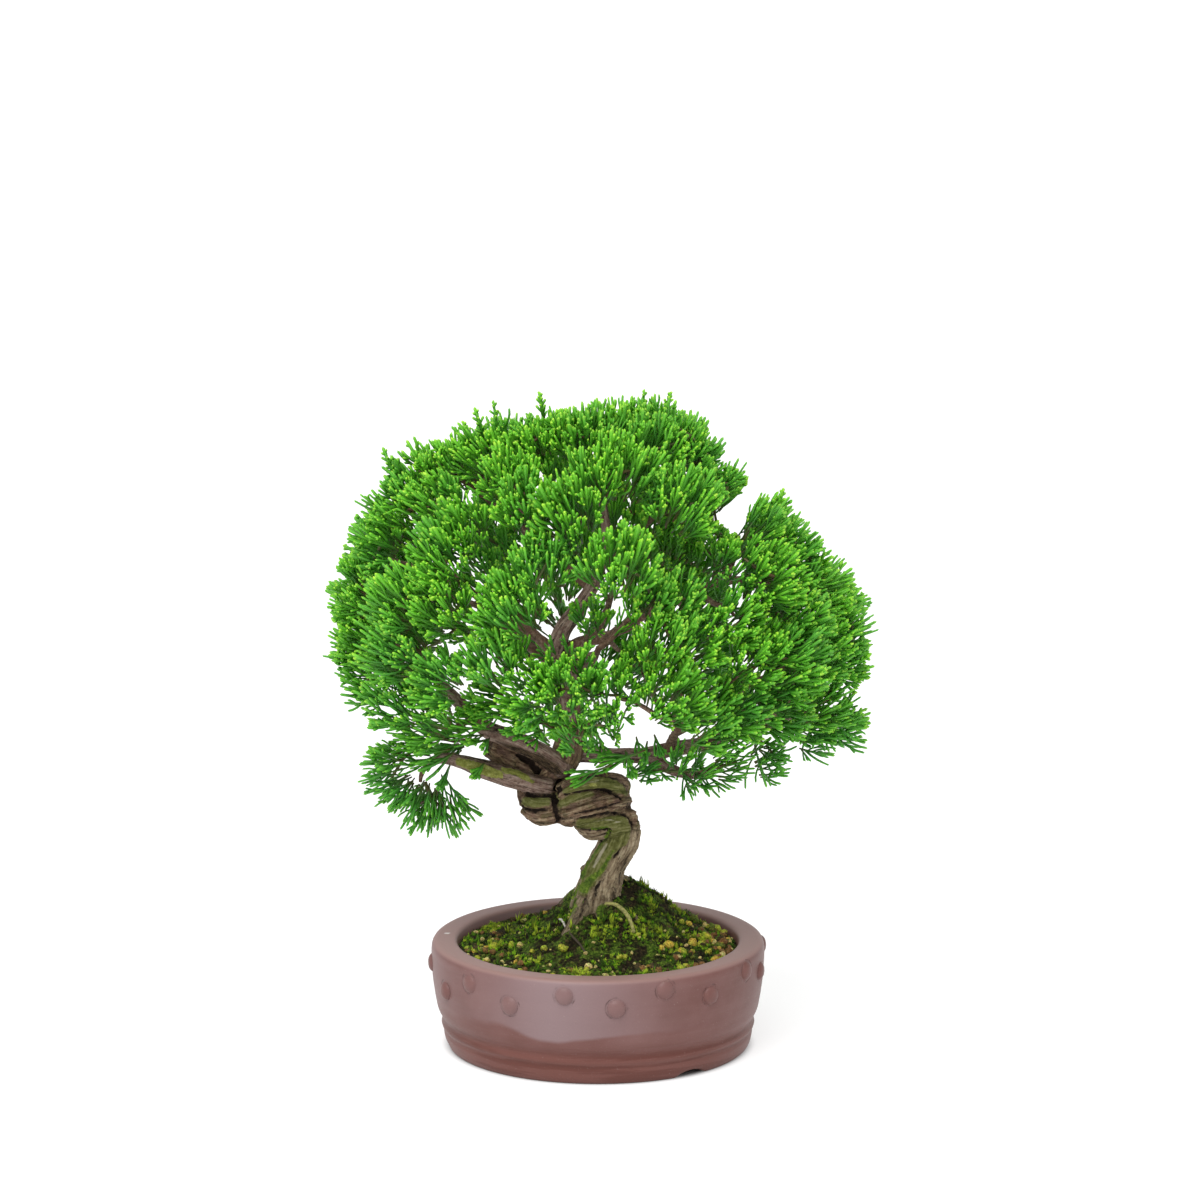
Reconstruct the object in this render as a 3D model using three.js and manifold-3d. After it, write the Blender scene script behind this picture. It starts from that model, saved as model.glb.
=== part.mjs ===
// Itoigawa juniper bonsai in a round unglazed drum pot.
// Millimetres, +Z up, the front at -Y. The model is laid out round the pot's axis with the
// pot's feet on z = 0, and the whole group is then centred on its own box at the end.

import * as THREE from "three";
import { mergeVertices } from "three/addons/utils/BufferGeometryUtils.js";
import Module from "manifold-3d";

const wasm = await Module();
wasm.setup();

// Driving sizes

const seatGap = 0.35;
const roundSides = 32;

const pot = {
  height: 49,
  rimRadius: 75,
  rimInnerRadius: 63.3,
  waistRadius: 70.2,
  footRadius: 67.6,
  footInnerRadius: 61,
  baseLift: 3,
  floorTop: 8.5,
  floorRadius: 58.5,
  drainRadius: 8,
};

// Two rows of ten studs, pressed on by hand, so each has its own angle and height
const studs = {
  baseRadius: 4.5,
  topRadius: 3,
  proud: 2,
  sunk: 3,
  places: [
    [-65.5, 32.7], [-31.5, 35], [6.3, 36.5], [42, 37.5], [76, 38.5],
    [112, 38], [149, 37], [185, 35.5], [222, 34], [258, 33],
    [-86, 39], [-49.5, 40.8], [-11.5, 42], [23.5, 43.5], [62, 43],
    [98, 43], [133, 42.5], [168, 42], [204, 41], [239, 40],
  ],
};

const feet = { arches: 3, firstAngle: 38, width: 16, height: 2.5 };

const drainMesh = { width: 28, thickness: 1.2, holes: 3, bar: 2.4 };

const mound = {
  wallLevel: 45,
  peak: 74,
  centre: [8, 8],
  spread: 34,
  power: 2.2,
  bump: 0.8,
  rings: [12, 25, 40],
};

// Solid from a closed three.js geometry, and back to a mesh

function solidOf(geometry) {
  const bare = geometry.clone();
  bare.deleteAttribute("normal");
  bare.deleteAttribute("uv");
  const merged = mergeVertices(bare, 1e-4);
  const triangles = [];
  const index = merged.index.array;
  for (let i = 0; i < index.length; i += 3) {
    const [a, b, c] = [index[i], index[i + 1], index[i + 2]];
    if (a !== b && b !== c && c !== a) {
      triangles.push(a, b, c);
    }
  }
  return new wasm.Manifold(new wasm.Mesh({
    numProp: 3,
    vertProperties: new Float32Array(merged.attributes.position.array),
    triVerts: new Uint32Array(triangles),
  }));
}

function joined(solids) {
  return solids.reduce((whole, piece) => whole.add(piece));
}

function largestBody(solid) {
  const bodies = solid.decompose();
  bodies.sort((a, b) => b.volume() - a.volume());
  return bodies[0];
}

function meshOf(name, solid, material) {
  const data = solid.getMesh();
  const geometry = new THREE.BufferGeometry();
  const position = new Float32Array(data.vertProperties);
  geometry.setAttribute("position", new THREE.BufferAttribute(position, 3));
  geometry.setIndex(new THREE.BufferAttribute(new Uint32Array(data.triVerts), 1));
  geometry.computeVertexNormals();
  const mesh = new THREE.Mesh(geometry, material);
  mesh.name = name;
  return mesh;
}

function upright(latheGeometry) {
  return latheGeometry.rotateX(Math.PI / 2);
}

function seededRandom(seed) {
  let state = seed;
  return () => {
    state = (state * 1664525 + 1013904223) % 4294967296;
    return state / 4294967296;
  };
}

// Direction seen from above, with 0 degrees at the front and growing toward the right

function around(degrees) {
  const angle = THREE.MathUtils.degToRad(degrees);
  return new THREE.Vector3(Math.sin(angle), -Math.cos(angle), 0);
}

// Materials

const look = (color, roughness) => new THREE.MeshStandardMaterial({ color, roughness, metalness: 0 });

const potClay = look(0x7b5752, 0.5);
const blackPlastic = look(0x202020, 0.6);
const pottingSoil = look(0x47501b, 0.95);
const bark = look(0x6b5546, 0.9);
const greens = [look(0x3f7a22, 0.6), look(0x4a8a26, 0.6), look(0x568f2a, 0.6)];

// Pot: turned body, clay studs pressed on, three arches between the feet, one drain hole

function makePot() {
  const p = pot;
  const outline = [
    [0, p.baseLift],
    [p.footInnerRadius, p.baseLift],
    [p.footInnerRadius + 1.5, 0],
    [p.footRadius, 0],
    [p.waistRadius - 0.8, 4],
    [p.waistRadius - 0.6, 8.2],
    [p.waistRadius + 0.1, 10],
    [p.waistRadius - 0.4, 13.4],
    [p.waistRadius + 1.6, 16.5],
    [p.rimRadius - 2.1, 21.8],
    [p.rimRadius - 0.5, 31],
    [p.rimRadius, 40],
    [p.rimRadius, p.height - 2.6],
    [p.rimRadius - 0.9, p.height - 0.8],
    [p.rimRadius - 2.9, p.height],
    [p.rimInnerRadius + 0.8, p.height],
    [p.rimInnerRadius, p.height - 1],
    [p.floorRadius, p.floorTop],
    [0, p.floorTop],
  ];
  const points = outline.map(([r, z]) => new THREE.Vector2(r, z));
  let body = solidOf(upright(new THREE.LatheGeometry(points, roundSides)));

  for (const [angle, z] of studs.places) {
    const outward = around(angle);
    const length = studs.proud + studs.sunk;
    const stud = new THREE.CylinderGeometry(studs.topRadius, studs.baseRadius, length, 6);
    stud.applyQuaternion(new THREE.Quaternion().setFromUnitVectors(new THREE.Vector3(0, 1, 0), outward));
    const reach = p.rimRadius + studs.proud - length / 2;
    stud.translate(outward.x * reach, outward.y * reach, z);
    body = body.add(solidOf(stud));
  }

  const half = feet.width / 2;
  const archRadius = (half * half + feet.height * feet.height) / (2 * feet.height);
  for (let i = 0; i < feet.arches; i += 1) {
    const outward = around(feet.firstAngle + (360 / feet.arches) * i);
    const arch = new THREE.CylinderGeometry(archRadius, archRadius, 24, 28);
    arch.applyQuaternion(new THREE.Quaternion().setFromUnitVectors(new THREE.Vector3(0, 1, 0), outward));
    arch.translate(outward.x * 66, outward.y * 66, feet.height - archRadius);
    body = body.subtract(solidOf(arch));
  }

  const drain = new THREE.CylinderGeometry(p.drainRadius, p.drainRadius, 4 * p.floorTop, 12);
  return body.subtract(solidOf(drain.rotateX(Math.PI / 2)));
}

// Drainage mesh lying over the hole

function makeDrainMesh() {
  const { width, thickness, holes, bar } = drainMesh;
  const cell = (width - bar) / holes;
  let plate = solidOf(new THREE.BoxGeometry(width, width, thickness));
  for (let i = 0; i < holes; i += 1) {
    for (let j = 0; j < holes; j += 1) {
      const hole = new THREE.BoxGeometry(cell - bar, cell - bar, 3 * thickness);
      hole.translate((i - (holes - 1) / 2) * cell, (j - (holes - 1) / 2) * cell, 0);
      plate = plate.subtract(solidOf(hole));
    }
  }
  return plate.translate([0, 0, pot.floorTop + seatGap + thickness / 2]);
}

// Soil surface: a mound under the tree with small bumps, lower at the pot's wall

function soilHeight(x, y) {
  const away = Math.hypot(x - mound.centre[0], y - mound.centre[1]);
  const rise = Math.exp(-Math.pow(away / mound.spread, mound.power));
  const bumps = Math.sin(x * 0.31 + 1.3) * Math.cos(y * 0.27) + 0.5 * Math.sin(x * 0.13 - y * 0.19);
  const edgeFade = Math.min(1, Math.max(0, (62 - Math.hypot(x, y)) / 10));
  return mound.wallLevel + (mound.peak - mound.wallLevel) * rise + mound.bump * bumps * edgeFade;
}

function potWallRadius(z) {
  const t = (z - pot.floorTop) / (pot.height - 1 - pot.floorTop);
  return THREE.MathUtils.lerp(pot.floorRadius, pot.rimInnerRadius, t);
}

function makeSoil(holes) {
  const bottom = pot.floorTop + seatGap;
  const edge = potWallRadius(mound.wallLevel) - seatGap;
  const points = [
    new THREE.Vector2(0, bottom),
    new THREE.Vector2(potWallRadius(bottom) - seatGap - 0.3, bottom),
    new THREE.Vector2(edge, mound.wallLevel),
  ];
  for (const r of [...mound.rings].reverse()) {
    points.push(new THREE.Vector2(r, mound.wallLevel));
  }
  points.push(new THREE.Vector2(0, mound.wallLevel));
  const geometry = upright(new THREE.LatheGeometry(points, roundSides));
  const position = geometry.attributes.position;
  for (let i = 0; i < position.count; i += 1) {
    const x = position.getX(i);
    const y = position.getY(i);
    const onTop = position.getZ(i) > mound.wallLevel - 1;
    if (onTop && Math.hypot(x, y) < edge - 1) {
      position.setZ(i, soilHeight(x, y));
    }
  }
  const pocketWidth = drainMesh.width + 2 * seatGap;
  const pocket = new THREE.BoxGeometry(pocketWidth, pocketWidth, 2 * (drainMesh.thickness + seatGap));
  pocket.translate(0, 0, bottom);
  return solidOf(geometry).subtract(solidOf(pocket)).subtract(holes);
}

// A limb is a closed tube swept along a smooth curve. Its points are [x, y, z, radius].
// grow thickens it all round and lengthens both ends, for the hole that it stands in.

function limbPath(points) {
  const centres = points.map(([x, y, z]) => new THREE.Vector3(x, y, z));
  const curve = new THREE.CatmullRomCurve3(centres, false, "centripetal");
  const radiusAt = (u) => {
    const along = curve.getUtoTmapping(u) * (points.length - 1);
    const before = Math.min(points.length - 2, Math.floor(along));
    return THREE.MathUtils.lerp(points[before][3], points[before + 1][3], along - before);
  };
  return { curve, radiusAt };
}

function limb(points, sides, stepLength, grow = 0) {
  const { curve, radiusAt } = limbPath(points);
  const steps = Math.max(1, Math.round(curve.getLength() / stepLength));
  const frames = curve.computeFrenetFrames(steps, false);
  const tube = new THREE.CylinderGeometry(1, 1, steps, sides, steps);
  const position = tube.attributes.position;
  for (let i = 0; i < position.count; i += 1) {
    const step = Math.round(position.getY(i) + steps / 2);
    const u = step / steps;
    const radius = radiusAt(u) + grow;
    const end = step === 0 ? -grow : step === steps ? grow : 0;
    const point = curve.getPointAt(u);
    point.addScaledVector(frames.tangents[step], end);
    point.addScaledVector(frames.normals[step], position.getX(i) * radius);
    point.addScaledVector(frames.binormals[step], -position.getZ(i) * radius);
    position.setXYZ(i, point.x, point.y, point.z);
  }
  return solidOf(tube);
}

// A rod is a straight stretch of a limb, kept for working out what lies clear of what.

function rodsAlong(points, stepLength) {
  const { curve, radiusAt } = limbPath(points);
  const steps = Math.max(1, Math.round(curve.getLength() / stepLength));
  const rods = [];
  for (let i = 0; i < steps; i += 1) {
    const radius = Math.max(radiusAt(i / steps), radiusAt((i + 1) / steps));
    rods.push({ from: curve.getPointAt(i / steps), to: curve.getPointAt((i + 1) / steps), radius });
  }
  return rods;
}

function distanceBetween(a, b) {
  const u = a.to.clone().sub(a.from);
  const v = b.to.clone().sub(b.from);
  const w = a.from.clone().sub(b.from);
  const uu = Math.max(u.dot(u), 1e-9);
  const vv = Math.max(v.dot(v), 1e-9);
  const uv = u.dot(v);
  const uw = u.dot(w);
  const vw = v.dot(w);
  const flat = uu * vv - uv * uv;
  let s = flat > 1e-9 ? THREE.MathUtils.clamp((uv * vw - vv * uw) / flat, 0, 1) : 0;
  const t = THREE.MathUtils.clamp((uv * s + vw) / vv, 0, 1);
  s = THREE.MathUtils.clamp((uv * t - uw) / uu, 0, 1);
  return w.addScaledVector(u, s).addScaledVector(v, -t).length();
}

function isClear(rod, others, gap) {
  return others.every((other) => distanceBetween(rod, other) > rod.radius + other.radius + gap);
}

// Trunk: a corkscrew of overlapping stretches, grown together where they touch

const trunkSides = 8;
const trunkStep = 7.5;

const trunkStretches = [
  // leaning foot up to the first elbow
  [[-1, 0, 52, 13], [-0.5, 0, 64, 12], [1, 0, 74, 10], [3.5, 0, 81.5, 8.8], [7, -1, 88.5, 8.3],
    [10.5, -3, 96, 8.3], [12, -4, 104, 7]],
  // arm to the left, round behind and back to the right
  [[14, -4, 104.5, 6.6], [8.5, -8, 105, 6.4], [2, -11, 104, 6], [-4, -11, 103.5, 5.8], [-9, -5, 103.5, 5.6],
    [-8.5, 4, 104, 5.6], [-2, 11, 105, 5.8], [6, 12, 107, 6], [12.5, 6, 110, 6]],
  // middle band across the front
  [[11.5, 8, 109, 5.6], [14.5, -1, 112.5, 6], [10.5, -9, 114.5, 6], [3, -12, 114.5, 6], [-4.5, -12.5, 112, 6.2],
    [-11.5, -10, 109.5, 6.2], [-15.5, -3, 108.5, 6], [-13.5, 5, 109.5, 5.8], [-6.5, 10, 111.5, 5.4]],
  // top roll
  [[-8, 10, 111, 5.4], [3, 10, 114.5, 5.2], [10.5, 4, 117.5, 5], [10.5, -4, 120.5, 5], [4.5, -9, 122.5, 5],
    [-3.5, -11, 123, 5], [-10.5, -11, 120.5, 5.2], [-16, -9, 117, 5.2]],
  // left lobe
  [[-14.5, -5, 113, 6.5], [-21, -7, 112.5, 7.2], [-27.5, -6, 112, 7.2], [-32, -2, 113, 6.4]],
  // curl up from the lobe to the upright stem
  [[-30, -1, 112, 6.6], [-31, 4, 116, 7], [-27, 6, 120, 7.2], [-21, 4, 125, 7.4], [-16, 1, 130, 7.2],
    [-13, 0, 136, 6.6], [-12, 1, 143, 6]],
  // wood behind the hollow
  [[-19, 5, 121, 7], [-29.5, 7, 125.5, 7.5], [-40.5, 7, 130.5, 6.5], [-49, 5, 136, 4.5]],
];

const trunkHollow = [[-22, -9, 128, 4], [-29.5, -9, 130, 5.4], [-40, -8, 133.5, 5], [-48, -7, 138, 3.4]];

// Limbs that carry the foliage

const limbSides = 5;
const limbStep = 22;

const limbs = [
  // upright stem to the crown
  [[-12, 1, 139, 6], [-12.5, 2, 149, 5.6], [-13, 4, 158.5, 5.2], [-16.5, 4, 169, 4.8], [-18.5, 3, 180, 4.4],
    [-15.5, 2, 190.5, 4], [-9.5, 3, 198.5, 3.6], [-3.5, 4, 208, 3.2], [1, 3, 219.5, 2.8], [3.5, 0, 234, 2.4],
    [2, -2, 248, 2], [0, 0, 262, 1.6]],
  // plank-like limb over the hollow, to the left pads
  [[-15, -3, 126.5, 4.6], [-23, -4, 131.5, 5], [-33, -3, 136.5, 4.8], [-42.5, -1, 141.5, 4.4],
    [-50, 2, 145, 3.8], [-58, 4, 152.5, 3.2], [-68, 2, 163, 2.7], [-78, -2, 177.5, 2.3], [-86, -4, 194, 1.8]],
  // low limb under the hollow, to the drooping pad
  [[-20.5, -3, 119, 5], [-30.5, -4, 122.5, 5.2], [-41.5, -4, 125, 5], [-52, -3, 128, 4.2],
    [-61, -3, 131, 3.2], [-70.5, -4, 133, 2.5], [-78, -2, 128, 1.8]],
  // low limb to the right
  [[-13.5, 0, 135, 5], [-3.5, 3, 133, 4.4], [9, 5, 132, 4.2], [21, 3, 132.5, 4], [31.5, 0, 136, 4.2],
    [41, -4, 138.5, 3.4], [54.5, -6, 142, 2.8], [70, -4, 146, 2.4], [86, 0, 152, 2], [96, 4, 160, 1.6]],
  // spur under it
  [[20, 3, 133, 3], [29.5, -2, 129, 2.6], [38.5, -5, 126, 2.2], [48.5, -8, 126, 1.7]],
  // inner limbs to the left, right, top left, top right, back and front
  [[-18, 3, 178.5, 3.6], [-27.5, 8, 186, 3.2], [-40.5, 12, 194.5, 2.8], [-54.5, 8, 205, 2.4],
    [-66, 0, 217.5, 2], [-72, -6, 228, 1.5]],
  [[-15.5, 3, 181, 3.6], [-6.5, 6, 184, 3.4], [6.5, 8, 187, 3], [22.5, 8, 197, 2.8], [41, 4, 207, 2.6],
    [58, 0, 213, 2.2], [74, 2, 213, 1.9], [88, 4, 206, 1.6]],
  [[-3.5, 4, 208, 2.8], [-14.5, 8, 218, 2.4], [-28.5, 10, 230, 2.2], [-42, 6, 243, 1.9], [-54, 0, 254, 1.6]],
  [[1, 3, 219, 2.6], [10.5, 6, 227.5, 2.3], [22.5, 6, 239, 2], [32, 4, 253, 1.7], [38, 0, 264, 1.4]],
  [[-14, 3, 160, 3.6], [-12, 16, 168, 3], [-4, 30, 178, 2.6], [4, 46, 190, 2.2], [8, 62, 202, 1.6]],
  [[-16.5, 4, 170, 3], [-26, 16, 176, 2.6], [-40, 30, 184, 2.2], [-56, 42, 194, 1.6]],
  [[6.5, 8, 187, 2.8], [20, 20, 194, 2.4], [38, 34, 200, 2], [56, 44, 204, 1.6]],
  [[-13, 4, 158, 3.4], [-12, -10, 166, 2.8], [-8, -26, 176, 2.4], [-2, -42, 186, 2], [0, -54, 194, 1.6]],
  [[31.5, 0, 136, 3], [34, -14, 146, 2.4], [40, -30, 158, 2], [44, -46, 168, 1.6]],
];

// Surface roots run out from the trunk's foot and dive into the mound.
// Each is [direction in degrees, length, radius at the trunk].

const roots = [[-52, 40, 5.4], [-6, 30, 4.6], [48, 44, 4.8], [120, 38, 5], [215, 36, 5]];

function rootPoints([degrees, length, radius]) {
  const outward = around(degrees);
  const side = around(degrees + 90);
  const depths = [3, 0.8, -1, -5];
  return depths.map((lift, i) => {
    const t = i / (depths.length - 1);
    const along = 4 + (length - 4) * t;
    const sway = 3 * Math.sin(t * Math.PI);
    const x = outward.x * along + side.x * sway;
    const y = outward.y * along + side.y * sway;
    return [x, y, soilHeight(x, y) - radius * 0.4 + lift, THREE.MathUtils.lerp(radius, 1.3, t)];
  });
}

const rootSides = 5;
const rootStep = 14;

// Foliage tufts, placed by hand where the tree's front shows them: [x, y, z, radius]

const frontTufts = [
  // crest of the crown
  [-85, -6, 265, 12], [-72, -6, 270, 11], [-56, -10, 276, 12], [-44, -5, 280, 11], [-34, -20, 280, 10],
  [-22, -10, 287, 12], [-9, -18, 284, 11], [3, -11, 286, 11], [15, -8, 289, 12], [28, -7, 289, 12],
  [40, -12, 283, 11], [48, -11, 274, 11], [57, -11, 261, 10],
  // upper front
  [-41, -42, 270, 12], [-33, -57, 261, 12], [-16, -66, 257, 14], [12, -49, 275, 15], [40, -56, 261, 15],
  [-74, -28, 255, 12], [-63, -50, 248, 12], [-3, -51, 271, 12], [25, -29, 281, 12], [52, -33, 254, 10],
  // left pads
  [-94, -15, 250, 12], [-101, -16, 233, 12], [-71, -57, 236, 15], [-111, -11, 211, 12], [-90, -44, 214, 14],
  [-71, -63, 215, 12], [-112, -9, 188, 12], [-93, -42, 191, 14], [-108, -7, 166, 12], [-91, -33, 166, 13],
  [-73, -62, 180, 12], [-79, -32, 156, 12], [-85, 0, 136, 11],
  // drooping pad at the lower left
  [-97, 0, 121, 12], [-84, -1, 109, 12], [-70, 0, 107, 9],
  // middle
  [-40, -76, 218, 15], [-47, -71, 193, 13], [-25, -71, 237, 12], [-30, -80, 179, 13], [-11, -87, 183, 13],
  [5, -78, 177, 12], [-10, -66, 156, 8], [10, -85, 238, 15], [-3, -49, 207, 8], [23, -72, 219, 11],
  [30, -78, 203, 12], [47, -69, 201, 12], [37, -62, 218, 11], [18, -68, 189, 9],
  // lower right of the middle
  [36, -79, 177, 15], [50, -62, 161, 12], [64, -55, 165, 12], [45, -25, 132, 10], [61, -21, 133, 9],
  [79, 0, 130, 9],
  // right pads
  [78, -16, 243, 12], [93, -10, 229, 12], [80, -46, 224, 13], [103, -9, 212, 12], [114, -3, 195, 12],
  [95, -35, 203, 12], [116, -3, 177, 11], [88, -51, 187, 14], [104, -19, 184, 12], [84, -43, 165, 12],
  [103, -14, 161, 12], [114, 0, 146, 11], [64, -46, 233, 11], [64, -60, 208, 11], [72, -60, 189, 12],
];

// The crown's outline from the front, as [x, height of the top edge]

const crownTop = [
  [-124, 205], [-110, 236], [-95, 264], [-70, 283], [-40, 292], [0, 300], [35, 301], [48, 287], [60, 268],
  [68, 252], [80, 256], [95, 241], [110, 222], [124, 196],
];

// Places where daylight shows through the crown from the front: [x, height, radius]

const daylight = [[-9, 190, 10], [22, 152, 12], [-66, 152, 15], [-64, 184, 8], [0, 135, 26], [-40, 140, 26], [34, 128, 26]];

// Tufts are drawn a little larger than they look, and set back by as much, so that they touch

const tuftGrowth = 1.25;

const crown = { halfWidth: 112, halfDepth: 83, halfHeight: 80, centre: new THREE.Vector3(1.5, 0, 204) };
const backTuft = { radius: 16.5, candidates: 230, spacing: 0.72, lowest: 158 };
const sightSlope = 0.2126;

function crownTopAt(x) {
  const next = Math.min(crownTop.length - 1, Math.max(1, crownTop.findIndex(([px]) => px > x)));
  const [x0, z0] = crownTop[next - 1];
  const [x1, z1] = crownTop[next];
  return THREE.MathUtils.lerp(z0, z1, THREE.MathUtils.clamp((x - x0) / (x1 - x0), 0, 1));
}

// The back and sides, which the front doesn't show, are filled by a golden-angle spiral over
// the crown's egg shape. It keeps inside the outline and off the places that show daylight.

function allTufts() {
  const tufts = frontTufts.map(([x, y, z, radius]) => ({ centre: new THREE.Vector3(x, y, z), radius }));
  for (const tuft of tufts) {
    const inward = crown.centre.clone().sub(tuft.centre).normalize();
    tuft.centre.addScaledVector(inward, (tuftGrowth - 1) * tuft.radius);
    tuft.radius *= tuftGrowth;
  }
  const goldenAngle = Math.PI * (3 - Math.sqrt(5));
  for (let i = 0; i < backTuft.candidates; i += 1) {
    const up = 1 - (2 * (i + 0.5)) / backTuft.candidates;
    const ring = Math.sqrt(1 - up * up);
    const centre = new THREE.Vector3(
      crown.halfWidth * ring * Math.cos(goldenAngle * i),
      crown.halfDepth * ring * Math.sin(goldenAngle * i),
      crown.halfHeight * up,
    ).add(crown.centre);
    const { radius } = backTuft;
    const seenHeight = () => centre.z + sightSlope * centre.y;
    centre.z -= Math.max(0, seenHeight() + radius - crownTopAt(centre.x));
    const behind = centre.y > -4;
    const low = centre.z < backTuft.lowest - 0.25 * Math.abs(centre.x);
    const dark = daylight.every(([x, z, r]) => Math.hypot(centre.x - x, seenHeight() - z) > r + 0.6 * radius);
    const apart = tufts.every((t) => t.centre.distanceTo(centre) > backTuft.spacing * (t.radius + radius));
    if (behind && !low && dark && apart) {
      tufts.push({ centre, radius });
    }
  }
  return tufts;
}

// Each tuft fills its own cell between its neighbours, whose walls are flat

const cellGap = 0.2;
const coreSize = 4;

function addCells(tufts) {
  for (const tuft of tufts) {
    tuft.walls = [];
    for (const other of tufts) {
      const across = other.centre.clone().sub(tuft.centre);
      const distance = across.length();
      if (other !== tuft && distance < 60) {
        const share = (distance * distance + tuft.radius ** 2 - other.radius ** 2) / (2 * distance);
        tuft.walls.push({ normal: across.divideScalar(distance), reach: share - cellGap });
      }
    }
    const nearestWall = Math.min(...tuft.walls.map((wall) => wall.reach));
    tuft.coreRadius = Math.min(coreSize, nearestWall - 0.3);
    tuft.core = { from: tuft.centre, to: tuft.centre, radius: tuft.coreRadius };
  }
}

// A spray carries the tufts nearest to one of the evenly spread heads

const sprayCount = 50;

function gatherSprays(tufts) {
  const heads = [tufts[0]];
  while (heads.length < sprayCount) {
    const room = (tuft) => Math.min(...heads.map((head) => head.centre.distanceTo(tuft.centre)));
    heads.push(tufts.reduce((best, tuft) => (room(tuft) > room(best) ? tuft : best)));
  }
  const sprays = heads.map(() => ({ tufts: [] }));
  for (const tuft of tufts) {
    const distances = heads.map((head) => head.centre.distanceTo(tuft.centre));
    const spray = sprays[distances.indexOf(Math.min(...distances))];
    spray.tufts.push(tuft);
  }
  return sprays;
}

// A spray's first tuft hangs on a twig of a limb. The others grow from the tuft before them.

const twig = { baseRadius: 1.6, endRadius: 1.2, sides: 3 };
const stemRadius = 1.1;
const clearance = 0.5;

function linkTufts(spray, first) {
  const linked = [first];
  const waiting = spray.tufts.filter((tuft) => tuft !== first);
  while (waiting.length > 0) {
    let best = null;
    for (const tuft of waiting) {
      for (const carrier of linked) {
        const span = tuft.centre.distanceTo(carrier.centre);
        if (!best || span < best.span) {
          best = { tuft, carrier, span };
        }
      }
    }
    const towardCarrier = best.carrier.centre.clone().sub(best.tuft.centre).normalize();
    best.tuft.stemEnd = best.carrier.centre.clone().addScaledVector(towardCarrier, -0.3 * coreSize);
    linked.push(best.tuft);
    waiting.splice(waiting.indexOf(best.tuft), 1);
  }
  return spray.tufts.map((tuft) => ({ from: tuft.stemEnd, to: tuft.centre, radius: stemRadius + 0.4 }));
}

function growTwigs(sprays, limbRods) {
  const cores = sprays.flatMap((spray) => spray.tufts.map((tuft) => ({ ...tuft.core, spray })));
  const grown = [];
  const starts = limbRods.map((rod) => rod.to);
  for (const spray of sprays) {
    const strange = [...cores, ...grown].filter((rod) => rod.spray !== spray);
    const choices = [];
    for (const first of spray.tufts) {
      for (const start of starts) {
        const climb = Math.max(0, start.z - first.centre.z + 8);
        choices.push({ first, start, cost: start.distanceTo(first.centre) + 0.6 * climb });
      }
    }
    choices.sort((a, b) => a.cost - b.cost);

    let best = null;
    for (const { first, start } of choices) {
      const toLimb = start.clone().sub(first.centre);
      const back = Math.min(0.7 * first.radius, toLimb.length() - 6);
      toLimb.normalize();
      first.stemEnd = first.centre.clone().addScaledVector(toLimb, back);
      const twigEnd = first.stemEnd.clone().addScaledVector(toLimb, seatGap);
      const own = linkTufts(spray, first);
      const stem = [{ from: start, to: twigEnd, radius: twig.baseRadius }];
      const ownCores = spray.tufts.map((tuft) => tuft.core);
      const ownLinks = own.filter((rod) => rod.to !== first.centre);
      const clear = own.every((rod) => isClear(rod, [...strange, ...limbRods], clearance))
        && isClear(stem[0], [...strange, ...ownCores, ...ownLinks], clearance);
      if (!best || clear) {
        best = { clear, first, start, twigEnd, own, stem };
      }
      if (clear) {
        break;
      }
    }
    Object.assign(spray, best);
    grown.push(...[...best.own, ...best.stem].map((rod) => ({ ...rod, spray })));
  }
}

function twigPoints(spray) {
  return [[...spray.start, twig.baseRadius], [...spray.twigEnd, twig.endRadius]];
}

// A tuft is a burst of three-sided shoots, one on each face of its small core, and one face is
// drawn out into the tuft's own stem. Every shoot stays in the cone of its own face and inside
// the tuft's cell, so that no two cross.

const shoot = { thickness: 1.4, least: 0.9, spread: 0.2, shortest: 1.5, lean: 0.6, largeTuft: 15.5 };

function shootTip(tuft, corners, obstacles, random) {
  const direction = new THREE.Vector3();
  for (const corner of corners) {
    direction.addScaledVector(corner, 1 + shoot.lean * (random() - 0.5));
  }
  direction.normalize();
  let reach = tuft.radius * (shoot.least + shoot.spread * random());
  for (const wall of tuft.walls) {
    const facing = direction.dot(wall.normal);
    if (facing > 0.05) {
      reach = Math.min(reach, wall.reach / facing);
    }
  }
  const from = tuft.centre.clone().addScaledVector(direction, tuft.coreRadius);
  while (reach > tuft.coreRadius + shoot.shortest) {
    const to = tuft.centre.clone().addScaledVector(direction, reach);
    if (isClear({ from, to, radius: shoot.thickness }, obstacles, 0.1)) {
      return to;
    }
    reach *= 0.8;
  }
  return null;
}

function facesOf(tuft, towardStem, random) {
  const large = tuft.radius > shoot.largeTuft;
  const core = large ? new THREE.OctahedronGeometry(1, 1) : new THREE.IcosahedronGeometry(1, 0);
  const place = core.attributes.position;
  const corners = [];
  for (let i = 0; i < place.count; i += 1) {
    corners.push(new THREE.Vector3().fromBufferAttribute(place, i));
  }
  const stemFace = corners[0].clone().add(corners[1]).add(corners[2]).normalize();
  const turn = new THREE.Quaternion().setFromUnitVectors(stemFace, towardStem);
  turn.premultiply(new THREE.Quaternion().setFromAxisAngle(towardStem, random() * Math.PI));
  const faces = [];
  for (let i = 0; i < corners.length; i += 3) {
    faces.push(corners.slice(i, i + 3).map((corner) => corner.applyQuaternion(turn)));
  }
  return faces;
}

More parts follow.
